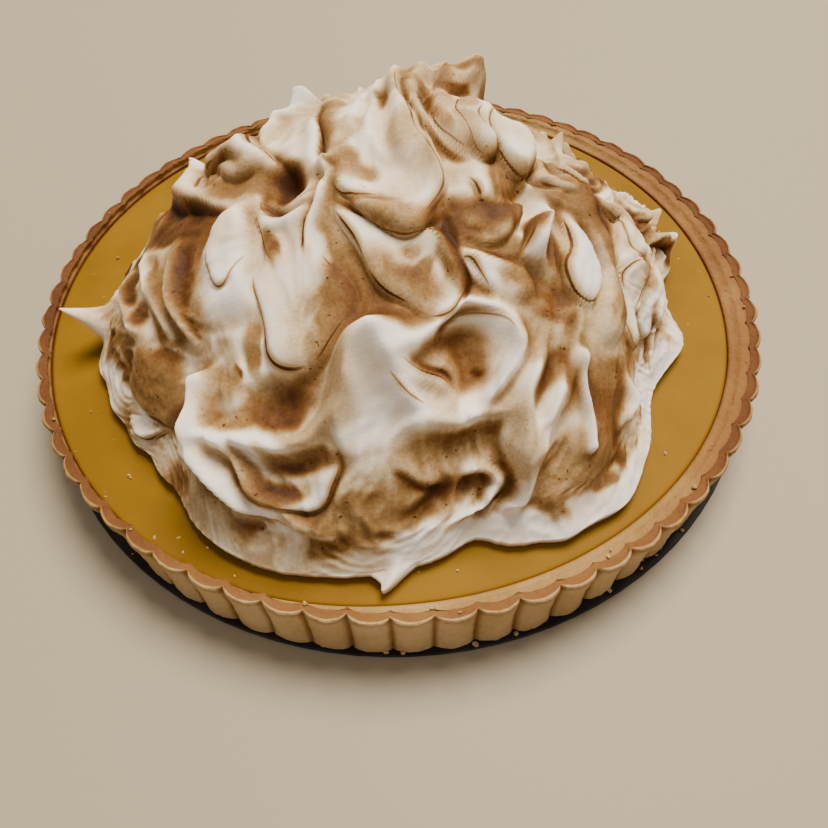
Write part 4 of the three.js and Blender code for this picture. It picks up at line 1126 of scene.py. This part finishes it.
# Faces of the mound's top, its low edge and its flat underside.
def closeMound(points, cells):
    side = cells + 1
    corner = (np.arange(cells)[:, None] * side + np.arange(cells)).ravel()
    faces = np.stack([corner, corner + 1, corner + side + 1, corner + side], -1).tolist()
    steps = np.arange(cells)
    right = steps * side + cells
    edge = np.concatenate([steps, right, cells * side + cells - steps, (cells - steps) * side])
    bottom = pieSet["curdHeight"] + pieSet["gap"]
    rim = points[edge]
    out = rim[:, :2] / np.linalg.norm(rim[:, :2], axis=1, keepdims=True)
    low = np.column_stack([rim[:, :2] - 0.8 * out, np.full(len(edge), bottom)])
    firstLow = len(points)
    centre = firstLow + len(edge)
    points = np.vstack([points, low, [[0, 0, bottom]]])
    for step in range(len(edge)):
        after = (step + 1) % len(edge)
        faces.append([firstLow + step, firstLow + after, edge[after], edge[step]])
        faces.append([centre, firstLow + after, firstLow + step])
    return points, faces, len(edge) + 1


def meringueMaterial():
    material, nodes, shader, place = newMaterial("toastedMeringue", {
        "Roughness": 0.58,
        "Specular IOR Level": 0.1,
        "Subsurface Weight": 0.12,
        "Subsurface Radius": (0.004, 0.003, 0.002),
        "Subsurface Scale": 0.5,
    })
    toast = nodes.attribute("toast")
    clouds = nodes.noise(place, 55, 4, 0.6)
    grain = nodes.noise(place, 900, 3, 0.6)
    uneven = nodes.plus(nodes.times(nodes.minus(clouds, 0.5), 0.5),
                        nodes.times(nodes.minus(grain, 0.5), 0.25))
    uneven = nodes.times(uneven, nodes.fade(toast, 0.02, 0.4, 0.35, 1.0))
    tone = nodes.plus(toast, uneven)
    pores = nodes.fade(nodes.noise(place, 620, 1, 0.5), 0.71, 0.76)
    pores = nodes.times(pores, nodes.fade(toast, 0.25, 0.6, 0.04, 0.3))
    tone = nodes.plus(tone, pores)
    off = nodes.math("ABSOLUTE", nodes.attribute("lip"))
    singe = nodes.attribute("singe")
    glow = nodes.times(nodes.fade(off, 1.1, 0.1), nodes.fade(singe, 0.2, 0.9, 0.0, 0.45))
    tone = nodes.math("MAXIMUM", tone, nodes.plus(glow, nodes.times(uneven, 0.5)))
    line = nodes.fade(off, 0.32, 0.05)
    tone = nodes.math("MAXIMUM", tone, nodes.times(line, singe))
    colour = nodes.ramp(tone, [
        (0.00, (0.95, 0.84, 0.72)), (0.08, (0.94, 0.785, 0.61)), (0.18, (0.82, 0.64, 0.43)),
        (0.36, (0.57, 0.385, 0.195)), (0.58, (0.305, 0.163, 0.052)), (0.78, (0.165, 0.064, 0.013)),
        (1.00, (0.060, 0.020, 0.006)),
    ])
    height = nodes.plus(nodes.noise(place, 1400, 2, 0.5), nodes.times(clouds, 0.5))
    finishSurface(nodes, shader, colour, height, 0.25, 0.0004)
    return material


def makeMeringue():
    points, skin = layMeringue()
    points, faces, extra = closeMound(points, moundSet["cells"])
    piece = meshObject("meringueMound", points * mm, faces, meringueMaterial())
    for name, rest in (("toast", 0.1), ("lip", 2.0), ("singe", 0.0)):
        addFloat(piece, name, np.concatenate([skin[name], np.full(extra, rest)]))
    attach(piece, "root")
    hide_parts("meringue")


makeMeringue()
print("meringue laid")

studioSet = {
    "floorHalf": 3.0,
    "floorColour": (0.38, 0.300, 0.186),
    "world": (0.94, 0.93, 0.92),
    "worldStrength": 0.46,
    "keyPlace": (0.5, 0.9, 2.3),
    "keySize": 1.5,
    "keyPower": 132,
    "keyColour": (1.0, 0.96, 0.90),
}


def makeStudio(s):
    half = s["floorHalf"]
    corners = [(-half, -half, 0), (half, -half, 0), (half, half, 0), (-half, half, 0)]
    material, nodes, shader, place = newMaterial("paleFloor", {"Roughness": 0.6})
    dark = tuple(0.97 * c for c in s["floorColour"])
    nodes.put(shader.inputs["Base Color"], nodes.blend(nodes.noise(place, 3), s["floorColour"], dark))
    meshObject("floor", corners, [(0, 1, 2, 3)], material, smooth=False)
    world = bpy.data.worlds.new("studio")
    world.use_nodes = True
    world.node_tree.nodes["Background"].inputs["Color"].default_value = (*s["world"], 1)
    world.node_tree.nodes["Background"].inputs["Strength"].default_value = s["worldStrength"]
    bpy.context.scene.world = world
    light = bpy.data.lights.new("key", "AREA")
    light.shape = "DISK"
    light.size = s["keySize"]
    light.energy = s["keyPower"]
    light.color = s["keyColour"]
    lamp = bpy.data.objects.new("key", light)
    bpy.context.scene.collection.objects.link(lamp)
    lamp.location = s["keyPlace"]
    lamp.rotation_euler = (Vector((0, 0, 0.04)) - lamp.location).to_track_quat("-Z", "Y").to_euler()


makeStudio(studioSet)
print("studio lit")
